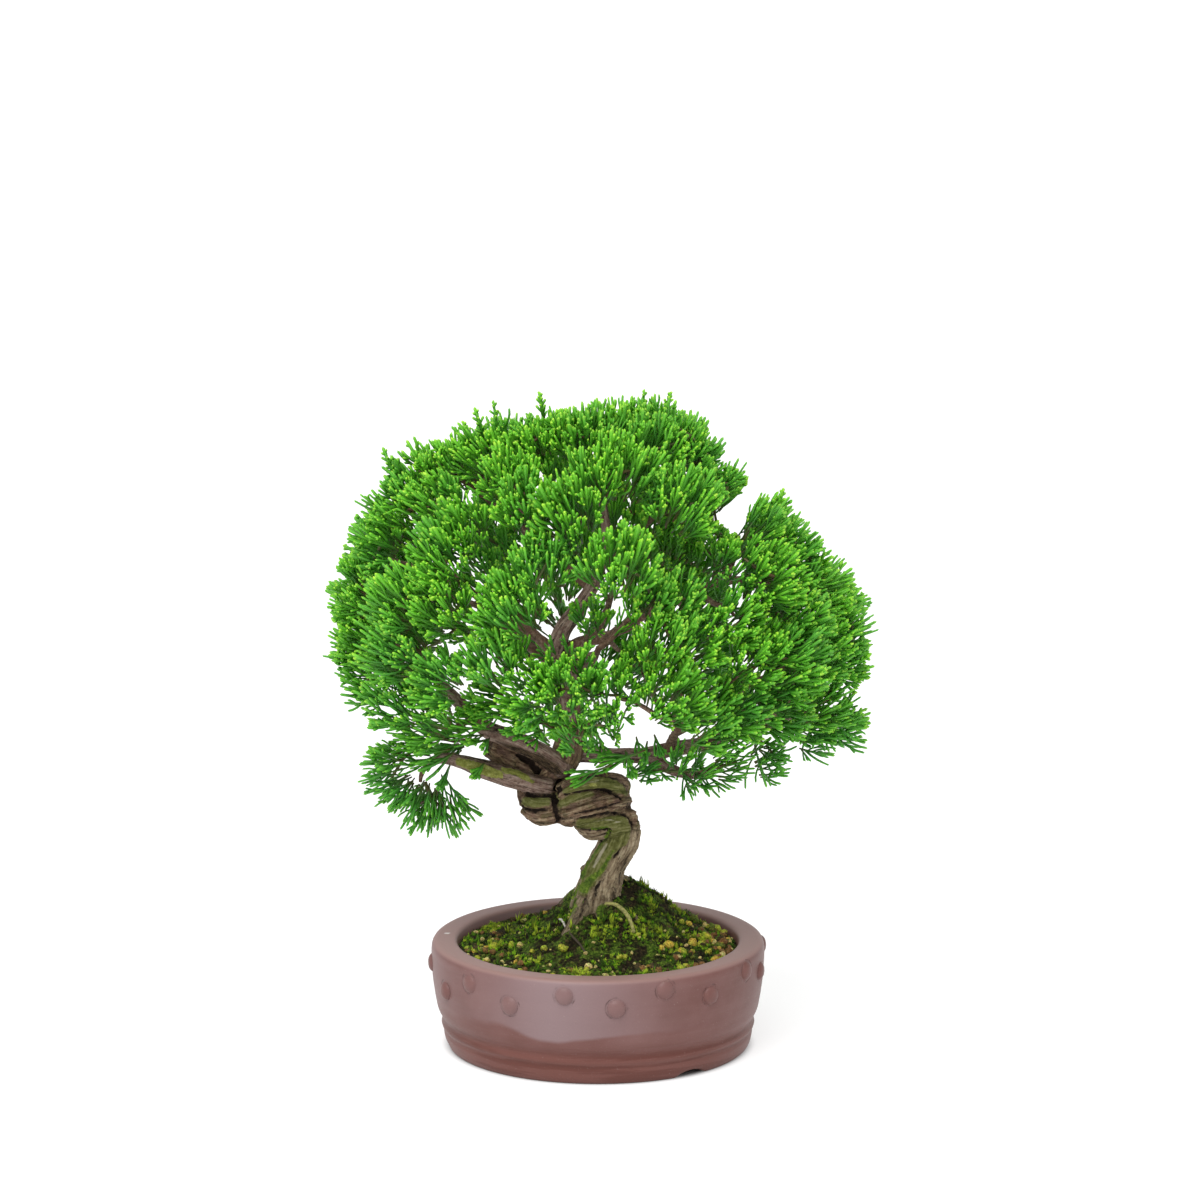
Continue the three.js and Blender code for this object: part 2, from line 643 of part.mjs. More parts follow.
function tuftSolid(tuft, obstacles, random) {
  const { centre, coreRadius, stemEnd } = tuft;
  const towardStem = stemEnd.clone().sub(centre).normalize();
  const burst = [];
  facesOf(tuft, towardStem, random).forEach((face, i) => {
    const [a, b, c] = face.map((corner) => corner.clone().multiplyScalar(coreRadius).add(centre));
    const tip = i > 0 && shootTip(tuft, face, obstacles, random);
    if (i === 0) {
      const middle = a.clone().add(b).add(c).divideScalar(3);
      const thin = (corner) => corner.clone().sub(middle).setLength(stemRadius).add(stemEnd);
      const [d, e, f] = [a, b, c].map(thin);
      burst.push(a, b, e, a, e, d, b, c, f, b, f, e, c, a, d, c, d, f, d, e, f);
    } else if (tip) {
      burst.push(a, b, tip, b, c, tip, c, a, tip);
    } else {
      burst.push(a, b, c);
    }
  });
  return solidOf(new THREE.BufferGeometry().setFromPoints(burst));
}

function makeSpray(spray, treeRods, sprays, seed) {
  const random = seededRandom(seed);
  const middle = spray.first.centre;
  const strangeRods = sprays.filter((other) => other !== spray).flatMap((other) => other.own);
  const near = (rod) => rod.from.distanceTo(middle) < 80 || rod.to.distanceTo(middle) < 80;
  const obstacles = [...treeRods, ...strangeRods].filter(near);
  const bursts = spray.tufts.map((tuft) => {
    const otherStems = spray.own.filter((rod) => rod.to !== tuft.centre);
    return tuftSolid(tuft, [...obstacles, ...otherStems], random);
  });
  return largestBody(joined(bursts));
}

// Assembly

const tufts = allTufts();
addCells(tufts);
const sprays = gatherSprays(tufts);
const limbRods = limbs.flatMap((points) => rodsAlong(points, limbStep / 2));
growTwigs(sprays, limbRods);

const rootSolids = roots.map((root) => limb(rootPoints(root), rootSides, rootStep));
const trunkSolids = trunkStretches.map((points) => limb(points, trunkSides, trunkStep));
const limbSolids = limbs.map((points) => limb(points, limbSides, limbStep));
const twigSolids = sprays.map((spray) => limb(twigPoints(spray), twig.sides, 1000));
const hollow = limb(trunkHollow, trunkSides, trunkStep);
const wood = joined([...trunkSolids, ...limbSolids]).subtract(hollow);
const tree = largestBody(joined([wood, ...rootSolids, ...twigSolids]));

const rootHoles = joined([
  limb(trunkStretches[0], trunkSides, trunkStep, seatGap),
  ...roots.map((root) => limb(rootPoints(root), rootSides, rootStep, seatGap)),
]);

const group = new THREE.Group();
group.add(meshOf("pot", makePot(), potClay));
group.add(meshOf("drainage_mesh", makeDrainMesh(), blackPlastic));
group.add(meshOf("soil", largestBody(makeSoil(rootHoles)), pottingSoil));
group.add(meshOf("tree", tree, bark));

const treeRods = [...limbRods, ...sprays.flatMap((spray) => spray.stem)];
sprays.forEach((spray, i) => {
  const name = `spray_${String(i + 1).padStart(2, "0")}`;
  group.add(meshOf(name, makeSpray(spray, treeRods, sprays, 1000 + i), greens[i % greens.length]));
});

// The origin goes to the middle of the box's underside

const box = new THREE.Box3().setFromObject(group);
group.position.set(-(box.min.x + box.max.x) / 2, -(box.min.y + box.max.y) / 2, -box.min.z);

export default group;
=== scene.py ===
import math
import random

import bmesh
import bpy
import numpy as np
from mathutils import Matrix, Vector, noise
from mathutils.bvhtree import BVHTree


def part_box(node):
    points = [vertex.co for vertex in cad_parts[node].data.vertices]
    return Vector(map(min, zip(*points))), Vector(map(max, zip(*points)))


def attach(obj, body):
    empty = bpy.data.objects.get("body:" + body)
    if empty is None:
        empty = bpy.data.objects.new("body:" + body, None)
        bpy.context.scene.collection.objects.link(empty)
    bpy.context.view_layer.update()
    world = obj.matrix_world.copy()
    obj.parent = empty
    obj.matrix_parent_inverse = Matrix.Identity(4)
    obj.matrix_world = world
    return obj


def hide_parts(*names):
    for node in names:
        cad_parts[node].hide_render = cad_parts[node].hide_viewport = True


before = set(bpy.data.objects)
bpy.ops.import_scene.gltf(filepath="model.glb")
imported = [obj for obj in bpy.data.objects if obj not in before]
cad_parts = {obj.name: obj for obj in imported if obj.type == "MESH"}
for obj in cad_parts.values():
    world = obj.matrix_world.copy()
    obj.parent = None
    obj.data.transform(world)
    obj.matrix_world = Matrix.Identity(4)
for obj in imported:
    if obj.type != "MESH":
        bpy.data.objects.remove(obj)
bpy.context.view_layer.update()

# Pot: a round drum of unglazed purple-brown clay, turned on a wheel and given a satin burnish. A painted
# sheen on its left front stands for a reflection. Round clay studs are pressed on in two rows with a scored
# ring round each, and three low arches are cut in the foot ring.

MM = 0.001
soil_low, soil_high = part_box("soil")
pot_axis = Vector(((soil_low.x + soil_high.x) / 2, (soil_low.y + soil_high.y) / 2, 0))

POT_OUTLINE = [
    (8.0, 3.4), (9.0, 3.0), (35.0, 3.0), (60.6, 3.0), (61.6, 2.2), (62.4, 0.5), (63.2, 0.0), (66.8, 0.0),
    (67.5, 0.5), (68.6, 2.3), (69.3, 5.0), (69.6, 7.0), (69.2, 8.2), (69.7, 9.0), (70.5, 10.1), (70.6, 11.2),
    (70.0, 12.6), (69.9, 13.6), (70.4, 14.8), (71.4, 16.3), (72.4, 18.8), (73.0, 21.8), (73.5, 24.6),
    (73.9, 27.4), (74.3, 30.2), (74.6, 33.0), (74.8, 37.0), (75.0, 41.0), (75.0, 45.2), (74.7, 47.0),
    (73.9, 48.3), (72.6, 48.9), (71.0, 49.0), (66.0, 49.0), (64.4, 48.8), (63.6, 48.2), (63.2, 47.0),
    (62.6, 44.0), (60.5, 26.0), (58.9, 10.5), (58.0, 9.0), (56.5, 8.5), (30.0, 8.5), (9.0, 8.5), (8.0, 8.1),
]
POT_STEPS = 260
STUDS = [
    (-65.5, 32.7), (-31.5, 35), (6.3, 36.5), (42, 37.5), (76, 38.5), (112, 38), (149, 37), (185, 35.5),
    (222, 34), (258, 33), (-86, 39), (-49.5, 40.8), (-11.5, 42), (23.5, 43.5), (62, 43), (98, 43),
    (133, 42.5), (168, 42), (204, 41), (239, 40),
]
STUD_OUTLINE = [(0.0, 2.25), (1.3, 2.17), (2.4, 1.9), (3.3, 1.42), (3.9, 0.85), (4.25, 0.25), (4.35, -0.8)]
ARCH_FIRST, ARCH_HALF, ARCH_HEIGHT = 38.0, 8.0, 2.5
STUD_RING, STUD_REACH = 4.95, 74.4
RIM_CHIP = (-68.2, 7.0, 49.0)


def place(x, y, z):
    return Vector((pot_axis.x + x * MM, pot_axis.y + y * MM, z * MM))


def outward(degrees):
    angle = math.radians(degrees)
    return Vector((math.sin(angle), -math.cos(angle), 0))


def smooth_run(points, step):
    """Evenly stepped points along a smooth curve through the given ones, in however many numbers each has."""
    spots = [np.array(p, float) for p in points]
    spots = [2 * spots[0] - spots[1]] + spots + [2 * spots[-1] - spots[-2]]
    fine = []
    for a, b, c, d in zip(spots, spots[1:], spots[2:], spots[3:]):
        spans = [max(float(np.linalg.norm((q - p)[:3])) ** 0.5, 1e-4) for p, q in ((a, b), (b, c), (c, d))]
        leave = ((b - a) / spans[0] - (c - a) / (spans[0] + spans[1]) + (c - b) / spans[1]) * spans[1]
        arrive = ((c - b) / spans[1] - (d - b) / (spans[1] + spans[2]) + (d - c) / spans[2]) * spans[1]
        for t in np.linspace(0, 1, 16, endpoint=False):
            bend = (3 * c - 3 * b - 2 * leave - arrive) * t * t + (2 * b - 2 * c + leave + arrive) * t ** 3
            fine.append(b + leave * t + bend)
    fine = np.array(fine + [spots[-2]])
    if len(points[0]) > 3:
        marks = np.linspace(0, len(points) - 1, len(fine))
        fine[:, 3] = np.interp(marks, range(len(points)), [p[3] for p in points])
    travelled = np.concatenate([[0], np.cumsum(np.linalg.norm(np.diff(fine[:, :3], axis=0), axis=1))])
    stops = np.linspace(0, travelled[-1], max(2, int(round(travelled[-1] / step)) + 1))
    return np.stack([np.interp(stops, travelled, column) for column in fine.T], axis=1)


def linked(name, data):
    made = bpy.data.objects.new(name, data)
    bpy.context.scene.collection.objects.link(made)
    return made


def mesh_of(bm, name):
    mesh = bpy.data.meshes.new(name)
    bm.to_mesh(mesh)
    bm.free()
    return mesh


def dress_piece(name, mesh, material, slot, *stands_for):
    mesh.shade_smooth()
    mesh.materials.clear()
    mesh.materials.append(material)
    piece = linked(name, mesh)
    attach(piece, "root")
    if stands_for:
        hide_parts(*stands_for)


def new_piece(name, bm, material, slot, *stands_for):
    dress_piece(name, mesh_of(bm, name), material, slot, *stands_for)


def spun_round(bm, geometry, centre, steps):
    """Turns an outline once round an upright axis, as on a wheel"""
    bmesh.ops.spin(bm, geom=geometry, cent=centre, axis=(0, 0, 1), dvec=(0, 0, 0), angle=2 * math.pi,
                   steps=steps, use_merge=True, use_duplicate=False)


def new_material(name, finish):
    """A material with the given values on its shader's own sockets"""
    material = bpy.data.materials.new(name)
    material.use_nodes = True
    for socket, value in finish.items():
        material.node_tree.nodes["Principled BSDF"].inputs[socket].default_value = value
    return material


def add_node(material, kind, inputs=(), **settings):
    """A shader node of one kind. Its inputs are sockets of other nodes or plain values, by name or number."""
    made = material.node_tree.nodes.new("ShaderNode" + kind)
    for setting, value in settings.items():
        setattr(made, setting, value)
    for key, value in dict(inputs).items():
        if isinstance(value, bpy.types.NodeSocket):
            material.node_tree.links.new(value, made.inputs[key])
        else:
            made.inputs[key].default_value = value
    return made


def colour_ramp(material, amount, stops):
    ramp = add_node(material, "ValToRGB", {"Fac": amount})
    bands = ramp.color_ramp.elements
    while len(bands) < len(stops):
        bands.new(0.5)
    for band, (position, colour) in zip(bands, stops):
        band.position = position
        band.color = (*colour, 1)
    return ramp.outputs["Color"]


def blended(material, amount, first, second):
    mix = add_node(material, "Mix", data_type="RGBA")
    for key, value in ((0, amount), (6, first), (7, second)):
        if isinstance(value, bpy.types.NodeSocket):
            material.node_tree.links.new(value, mix.inputs[key])
        else:
            mix.inputs[key].default_value = (*value, 1) if isinstance(value, tuple) else value
    return mix.outputs[2]


def worked(material, operation, *values):
    return add_node(material, "Math", enumerate(values), operation=operation).outputs[0]


def between(material, amount, low, high, to_low=0.0, to_high=1.0):
    inputs = {"Value": amount, "From Min": low, "From Max": high, "To Min": to_low, "To Max": to_high}
    return add_node(material, "MapRange", inputs, interpolation_type="SMOOTHSTEP").outputs["Result"]


def noise_of(material, vector, scale, detail=3.0, roughness=0.5):
    inputs = {"Vector": vector, "Scale": scale, "Detail": detail, "Roughness": roughness}
    return add_node(material, "TexNoise", inputs).outputs["Fac"]


def object_place(material, scale=(1, 1, 1)):
    coordinates = add_node(material, "TexCoord").outputs["Object"]
    return add_node(material, "Mapping", {"Vector": coordinates, "Scale": scale}).outputs["Vector"]


def grain_of(material, scale, detail=3.0, roughness=0.5):
    return noise_of(material, object_place(material), scale, detail, roughness)


def attribute_of(material, name, output="Fac"):
    return add_node(material, "Attribute", attribute_name=name).outputs[output]


def painted(material, colour, *bumps):
    """Gives the shader its colour, and its bumps, each a height socket with its depth in metres."""
    shader, links, normal = material.node_tree.nodes["Principled BSDF"], material.node_tree.links, None
    links.new(colour, shader.inputs["Base Color"])
    for height, depth in bumps:
        inputs = {"Height": height, "Distance": depth, "Strength": 1.0}
        if normal:
            inputs["Normal"] = normal
        normal = add_node(material, "Bump", inputs).outputs["Normal"]
    links.new(normal, shader.inputs["Normal"])


clay = new_material("unglazed_clay", {"Roughness": 0.44, "Specular IOR Level": 0.22, "Coat Weight": 0.06,
                                      "Coat Roughness": 0.32})
turned = noise_of(clay, object_place(clay, (18, 18, 260)), 1.0, 5.0, 0.6)
clouds = grain_of(clay, 38.0, 4.0, 0.55)
specks = grain_of(clay, 1700.0, 2.0)
clay_spot = add_node(clay, "SeparateXYZ", {"Vector": object_place(clay)})
height = clay_spot.outputs["Z"]
stud_gap = attribute_of(clay, "stud_distance")
body_colour = colour_ramp(clay, clouds, [
    (0.3, (0.135, 0.055, 0.046)), (0.52, (0.165, 0.074, 0.066)), (0.75, (0.19, 0.094, 0.086))])
streaked = blended(clay, between(clay, turned, 0.42, 0.7, 0.0, 0.4), body_colour, (0.19, 0.094, 0.084))
# A painted sheen stands for a reflection: it covers the wall's left half down to a wavering line, but not the
# studs.
wavering = worked(clay, "MULTIPLY_ADD", grain_of(clay, 26.0, 2.0), 0.014, 0.0155)
over_waist = worked(clay, "SUBTRACT", height, wavering)
from_right = between(clay, clay_spot.outputs["X"], 0.048, -0.028)
from_left = between(clay, clay_spot.outputs["X"], -0.066, -0.02, 0.15, 1.0)
off_stud = between(clay, stud_gap, 3.2, 4.8, 0.5, 1.0)
sheen_reach = worked(clay, "MULTIPLY", worked(clay, "MULTIPLY", from_right, from_left), off_stud)
painted_sheen = worked(clay, "MULTIPLY", between(clay, over_waist, -0.0008, 0.0016), sheen_reach)
sheen_painted = blended(clay, painted_sheen, streaked, (0.248, 0.168, 0.172))
low_band = between(clay, height, 0.022, 0.01, 0.0, 0.8)
reddish = blended(clay, low_band, sheen_painted, (0.148, 0.053, 0.041))
washed = worked(clay, "MULTIPLY", between(clay, turned, 0.47, 0.6), low_band)
wash = blended(clay, washed, reddish, (0.108, 0.034, 0.025))
rim_light = blended(clay, between(clay, height, 0.047, 0.0488, 0.0, 0.9), wash, (0.3, 0.18, 0.163))
speckled = blended(clay, between(clay, specks, 0.66, 0.8, 0.0, 0.5), rim_light, (0.36, 0.27, 0.24))
scored = between(clay, worked(clay, "SUBTRACT", stud_gap, STUD_RING), -0.45, 0.0)
scored_ring = worked(clay, "SUBTRACT", scored, between(clay, stud_gap, STUD_RING, 5.4))
ring_noise = between(clay, grain_of(clay, 240.0, 2.0), 0.42, 0.62)
ring_depth = worked(clay, "MULTIPLY", scored_ring, ring_noise)
# The scored ring round each stud is painted darker: painted shade in its groove.
ring_shade_painted = blended(clay, worked(clay, "MULTIPLY", ring_depth, 0.4), speckled, (0.085, 0.045, 0.04))
chip_place = place(*RIM_CHIP)
chip_distance = add_node(clay, "VectorMath", {0: object_place(clay), 1: chip_place}, operation="DISTANCE")
chip_edge = worked(clay, "MULTIPLY", grain_of(clay, 900.0), 0.0022)
chip_reach = worked(clay, "ADD", chip_distance.outputs["Value"], chip_edge)
chipped = blended(clay, between(clay, chip_reach, 0.0026, 0.0019), ring_shade_painted, (0.66, 0.62, 0.6))
ring_cut = worked(clay, "MULTIPLY", ring_depth, -1.0)
painted(clay, chipped, (turned, 0.00022), (specks, 0.00009), (ring_cut, 0.0003))

bm = bmesh.new()
stud_distance = bm.verts.layers.float.new("stud_distance")
outline = smooth_run([(r, z, 0.0) for r, z in POT_OUTLINE + POT_OUTLINE[:1]], 1.1)[:-1]
outline = [(r, max(z, 0.0)) for i, (r, z, _) in enumerate(outline)
           if r > 63.4 or (r > 61 and z < 3) or i % 5 == 0]
profile = [bm.verts.new(place(r, 0, z)) for r, z in outline]
for i, vert in enumerate(profile):
    bm.edges.new((vert, profile[(i + 1) % len(profile)]))
spun_round(bm, bm.verts[:] + bm.edges[:], pot_axis, POT_STEPS)
bmesh.ops.remove_doubles(bm, verts=bm.verts, dist=1e-6)
stud_places = [(outward(angle), z) for angle, z in STUDS]
for vert in bm.verts:
    offset = (vert.co - pot_axis) / MM
    radius = math.hypot(offset.x, offset.y)
    direction = Vector((offset.x / radius, offset.y / radius, 0))
    waver = noise.noise(Vector((offset.x * 0.012, offset.y * 0.012, offset.z * 0.02)))
    if radius > 60:
        vert.co += direction * 0.3 * MM * waver
    if 60.8 < radius and offset.z < 4:
        lift = 0.0
        for i in range(3):
            middle = outward(ARCH_FIRST + 120 * i)
            across = direction.cross(middle).z * radius
            if direction.dot(middle) > 0 and abs(across) < ARCH_HALF:
                lift = ARCH_HEIGHT * (1 - (across / ARCH_HALF) ** 2) ** 0.8
        vert.co.z += lift * MM * (1 - offset.z / 4)
    nearest = 20.0
    if radius > 72:
        for middle, z in stud_places:
            if direction.dot(middle) > 0.9:
                nearest = min(nearest, math.hypot(direction.cross(middle).z * radius, offset.z - z))
    vert[stud_distance] = nearest

for middle, z in stud_places:
    turn = Vector((0, 0, 1)).rotation_difference(middle).to_matrix().to_4x4()
    at = Matrix.Translation(pot_axis + middle * STUD_REACH * MM + Vector((0, 0, z * MM)))
    verts = [bm.verts.new((d * MM, 0, h * MM)) for d, h in STUD_OUTLINE]
    edges = [bm.edges.new(pair) for pair in zip(verts, verts[1:])]
    spun_round(bm, verts + edges, (0, 0, 0), 24)
    dome = [v for v in bm.verts if v.co.length < 0.006]
    bmesh.ops.remove_doubles(bm, verts=dome, dist=1e-6)
    dome = [v for v in bm.verts if v.co.length < 0.006]
    for vert in dome:
        vert[stud_distance] = math.hypot(vert.co.x, vert.co.y) / MM
    bmesh.ops.transform(bm, matrix=at @ turn, verts=dome)
bmesh.ops.holes_fill(bm, edges=[e for e in bm.edges if e.is_boundary], sides=30)
bmesh.ops.recalc_face_normals(bm, faces=bm.faces)
new_piece("turned_pot", bm, clay, "pot_clay", "pot")

# Drainage mesh: a square of black plastic mesh, moulded in one piece. It lies loose over the drain hole, so
# that the soil stays in.

plastic = new_material("drain_mesh_plastic", {"Roughness": 0.55})
plastic_grain = grain_of(plastic, 900.0)
plastic_colour = colour_ramp(plastic, plastic_grain, [
    (0.3, (0.012, 0.012, 0.012)), (0.8, (0.035, 0.034, 0.032))])
painted(plastic, plastic_colour, (plastic_grain, 0.0001))
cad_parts["drainage_mesh"].data.materials.clear()
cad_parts["drainage_mesh"].data.materials.append(plastic)

# Soil: gritty bonsai soil heaped into a mound under the trunk, dark and damp, darker green where moss
# and algae have grown over it. It fills the pot up to 4 mm below the rim.

WALL_LEVEL, MOUND_PEAK, MOUND_CENTRE = 45.0, 74.0, (7.5, 8.0)
MOUND_SPREAD, MOUND_POWER = 31.5, 2.2


def wall_radius(z):
    return 58.5 + (63.3 - 58.5) * (z - 8.5) / 39.5


def soil_height(x, y):
    away = math.hypot(x - MOUND_CENTRE[0], y - MOUND_CENTRE[1])
    rise = math.exp(-((away / MOUND_SPREAD) ** MOUND_POWER)) * min(1, max(0, (66 - math.hypot(x, y)) / 16))
    bumps = math.sin(x * 0.31 + 1.3) * math.cos(y * 0.27) + 0.5 * math.sin(x * 0.13 - y * 0.19)
    fade = min(1, max(0, (62 - math.hypot(x, y)) / 10))
    lumps = noise.fractal(Vector((x * 0.14, y * 0.14, 3.7)), 1.0, 2.0, 4)
    return WALL_LEVEL + (MOUND_PEAK - WALL_LEVEL) * rise + (0.8 * bumps + 1.1 * lumps) * fade


soil_mix = new_material("damp_soil", {"Roughness": 0.9, "Specular IOR Level": 0.15})
soil_coarse = grain_of(soil_mix, 130.0, 5.0, 0.65)
soil_fine = grain_of(soil_mix, 900.0, 4.0, 0.7)
soil_colour = colour_ramp(soil_mix, soil_fine, [
    (0.28, (0.003, 0.002, 0.001)), (0.5, (0.016, 0.012, 0.005)), (0.72, (0.09, 0.064, 0.026))])
algae = colour_ramp(soil_mix, soil_fine, [
    (0.34, (0.014, 0.026, 0.003)), (0.5, (0.06, 0.11, 0.01)), (0.68, (0.2, 0.3, 0.035))])
soil_painted = blended(soil_mix, between(soil_mix, soil_coarse, 0.44, 0.6), soil_colour, algae)
painted(soil_mix, soil_painted, (soil_fine, 0.0012), (soil_coarse, 0.001))

bm = bmesh.new()
edge_radius = wall_radius(WALL_LEVEL) - 0.05
outline = [(r, WALL_LEVEL) for r in np.arange(0, edge_radius - 0.5, 0.95)] + [(edge_radius, WALL_LEVEL - 0.4)]
outline += [(wall_radius(z) - 0.05, z) for z in (38.0, 26.0, 14.0, 9.2)]
outline += [(21.5, 9.2), (21.0, 10.6), (0, 10.6)]
profile = [bm.verts.new(place(r, 0, z)) for r, z in outline]
edges = [bm.edges.new(pair) for pair in zip(profile, profile[1:])]
spun_round(bm, profile + edges, pot_axis, 200)
bmesh.ops.remove_doubles(bm, verts=bm.verts, dist=2e-6)
for vert in bm.verts:
    offset = (vert.co - pot_axis) / MM
    if offset.z > WALL_LEVEL - 0.1:
        grit = noise.noise(Vector((offset.x * 0.55, offset.y * 0.55, 9.1)))
        vert.co.z = (soil_height(offset.x, offset.y) + 0.5 * grit) * MM
bmesh.ops.recalc_face_normals(bm, faces=bm.faces)
new_piece("soil_mound", bm, soil_mix, "soil", "soil")

# Grains: porous baked clay and pumice, 1.5 to 5 mm, ochre, tan, yellow-green with algae, a few pale.
# They lie thickest along the pot's wall, where the moss hasn't closed over them.

GRAIN_TONES = [
    (0.78, 0.54, 0.08), (0.8, 0.68, 0.24), (0.56, 0.58, 0.06), (0.86, 0.78, 0.42), (0.28, 0.15, 0.05),
    (0.1, 0.07, 0.03), (0.03, 0.025, 0.014), (0.16, 0.2, 0.03), (0.05, 0.06, 0.015),
]
SMALL_SHARES = [5, 4, 7, 1, 8, 15, 18, 14, 14]
LARGE_SHARES = [12, 8, 10, 3, 8, 8, 10, 8, 5]
BRIGHT_GRAINS = [
    (-47, 44.6, 1.8), (-39, 45.4, 1.5), (-35, 45.2, 1.8), (-29.5, 43, 1.3), (-24, 44.1, 1.9),
    (-15.7, 44.1, 2.4), (-5.6, 43, 1.1), (9.5, 41, 1.6), (12, 41.5, 1.3), (18, 51.2, 1.3),
    (31.8, 45.7, 2.3), (28.4, 45.2, 1.4), (42.4, 46.8, 1.6), (40.8, 54.4, 1.7), (46.7, 51.7, 1.4),
    (37.6, 55.5, 1.5), (53.2, 53.9, 2.2), (57.5, 52.8, 1.4), (48.3, 56.1, 1.4), (56.4, 58.8, 1.2),
    (-47.7, 59.3, 1.3), (-55.3, 56.6, 1.3), (49.4, 62.1, 1.3),
]
GRAINS, GRAIN_KINDS, SOIL_REACH = 950, 24, 61
VIEW_RISE = math.radians(12)
VIEW_SLOPE = math.tan(VIEW_RISE)

grain_stone = new_material("soil_grains", {"Roughness": 0.85, "Specular IOR Level": 0.2})
pores = grain_of(grain_stone, 1300.0, 4.0, 0.65)
pitted = blended(grain_stone, between(grain_stone, pores, 0.6, 0.35, 0.0, 0.7),
                 attribute_of(grain_stone, "tone", "Color"), (0.02, 0.02, 0.006))
lit_grain = blended(grain_stone, between(grain_stone, pores, 0.58, 0.8, 0.0, 0.4), pitted, (0.6, 0.52, 0.22))
painted(grain_stone, lit_grain, (pores, 0.0009))


def scatter(templates, places):
    """One mesh of many placed copies, each given by its template's number, a matrix and attribute values"""
    whole = bmesh.new()
    for start in range(0, len(places), 60):
        batch = bmesh.new()
        for kind, matrix, values in places[start:start + 60]:
            copy = templates[kind].copy()
            copy.transform(matrix)
            for name, value in values.items():
                copy.attributes[name].data.foreach_set("value", [value] * len(copy.vertices))
            batch.from_mesh(copy)
            bpy.data.meshes.remove(copy)
        part = mesh_of(batch, "part")
        whole.from_mesh(part)
        bpy.data.meshes.remove(part)
    return whole


def on_soil(x, seen):
    """The place on the soil at x that shows at a given height from the front, at the camera's slope"""
    spots = [(x, y, soil_height(x, y)) for y in np.arange(-60, 20, 0.5)]
    return min(spots, key=lambda spot: abs(spot[2] + VIEW_SLOPE * spot[1] - seen))


def resting(x, y, z, size, rng, tilt=3.14):
    spin = Matrix.Rotation(rng.uniform(0, 6.283), 4, "Z")
    angle = rng.uniform(-tilt, tilt)
    lean = Matrix.Rotation(angle, 4, Vector((rng.uniform(-1, 1), rng.uniform(-1, 1), 0.01)))
    return Matrix.Translation(place(x, y, z)) @ lean @ spin @ Matrix.Diagonal((*size, 1))


rng = random.Random(11)
stones, stone_tones = [], []
for kind in range(GRAIN_KINDS):
    bm = bmesh.new()
    tone = bm.verts.layers.float_color.new("tone")
    bmesh.ops.create_icosphere(bm, subdivisions=2 if kind % 2 else 1, radius=1.0)
    chosen = rng.choices(GRAIN_TONES, LARGE_SHARES if kind % 2 else SMALL_SHARES)[0]
    seed = Vector((kind * 3.1, 0, 0))
    for vert in bm.verts:
        vert.co *= 1 + 0.55 * noise.noise(vert.co * 1.3 + seed)
        vert[tone] = (*[c * (0.8 + 0.4 * rng.random()) for c in chosen], 1)
    stones.append(mesh_of(bm, f"stone_{kind:02d}"))
    stone_tones.append(chosen)

grains = []
while len(grains) < GRAINS:
    near_wall = rng.random() < 0.66
    reach = rng.uniform(44, SOIL_REACH) if near_wall else SOIL_REACH * math.sqrt(rng.uniform(0.05, 0.8))
    angle = rng.uniform(0, 2 * math.pi)
    x, y = reach * math.cos(angle), reach * math.sin(angle)
    loose = 0.45 + 0.0035 * x + 1.5 * noise.noise(Vector((x * 0.085, y * 0.085, 5.5)))
    if near_wall and rng.random() > loose:
        continue
    size = 0.65 + (1.5 + 0.007 * x) * rng.random() ** 1.7 if near_wall else rng.uniform(0.5, 1.2)
    size = min(size, 0.7 * (62.2 - reach)) * MM
    large = size > 1.2 * MM
    shape = (size, size * rng.uniform(0.7, 1.0), size * rng.uniform(0.6, 0.9))
    sink = rng.uniform(0.0, 0.6) * size / MM
    kind = rng.randrange(GRAIN_KINDS // 2) * 2 + (1 if large else 0)
    grains.append((kind, resting(x, y, soil_height(x, y) + sink, shape, rng), {}))
bright = [kind for kind in range(1, GRAIN_KINDS, 2) if stone_tones[kind] in GRAIN_TONES[:4]]
for x, seen, size in BRIGHT_GRAINS:
    x, y, z = on_soil(x, seen)
    shape = (size * MM, size * 0.85 * MM, size * 0.8 * MM)
    grains.append((rng.choice(bright), resting(x, y, z + size * 0.5, shape, rng), {}))
new_piece("soil_grains", scatter(stones, grains), grain_stone, "soil")

# Moss: short bright shoots in clumps, thick on the mound and thin between the grains, with a few longer
# sprouts of weeds. Each clump is a ring of blades round one upright blade.

MOSS_TONES = [
    (0.026, 0.024, 0.008), (0.036, 0.06, 0.006), (0.07, 0.165, 0.008), (0.13, 0.34, 0.008),
    (0.27, 0.54, 0.016), (0.5, 0.66, 0.04),
]
SPROUTS = [
    (21, 78), (22.5, 77), (29, 71.5), (31, 70.5), (-8, 62.5), (-7, 61), (5.5, 57), (6.5, 55.5), (6, 53.5),
    (-28.5, 54), (-29.5, 52.5), (-27.5, 51), (43.5, 48), (-41, 50), (-2.5, 50), (-12, 54),
]
MOSS_CLUMPS, MOSS_KINDS = 2900, 18

moss_green = new_material("moss_shoots", {"Roughness": 0.75, "Specular IOR Level": 0.2})
moss_patch = grain_of(moss_green, 260.0, 4.0)
moss_shade = blended(moss_green, between(moss_green, moss_patch, 0.6, 0.35, 0.0, 0.75),
                     attribute_of(moss_green, "tone", "Color"), (0.012, 0.022, 0.003))
painted(moss_green, moss_shade, (grain_of(moss_green, 2500.0, 2.0), 0.0002))

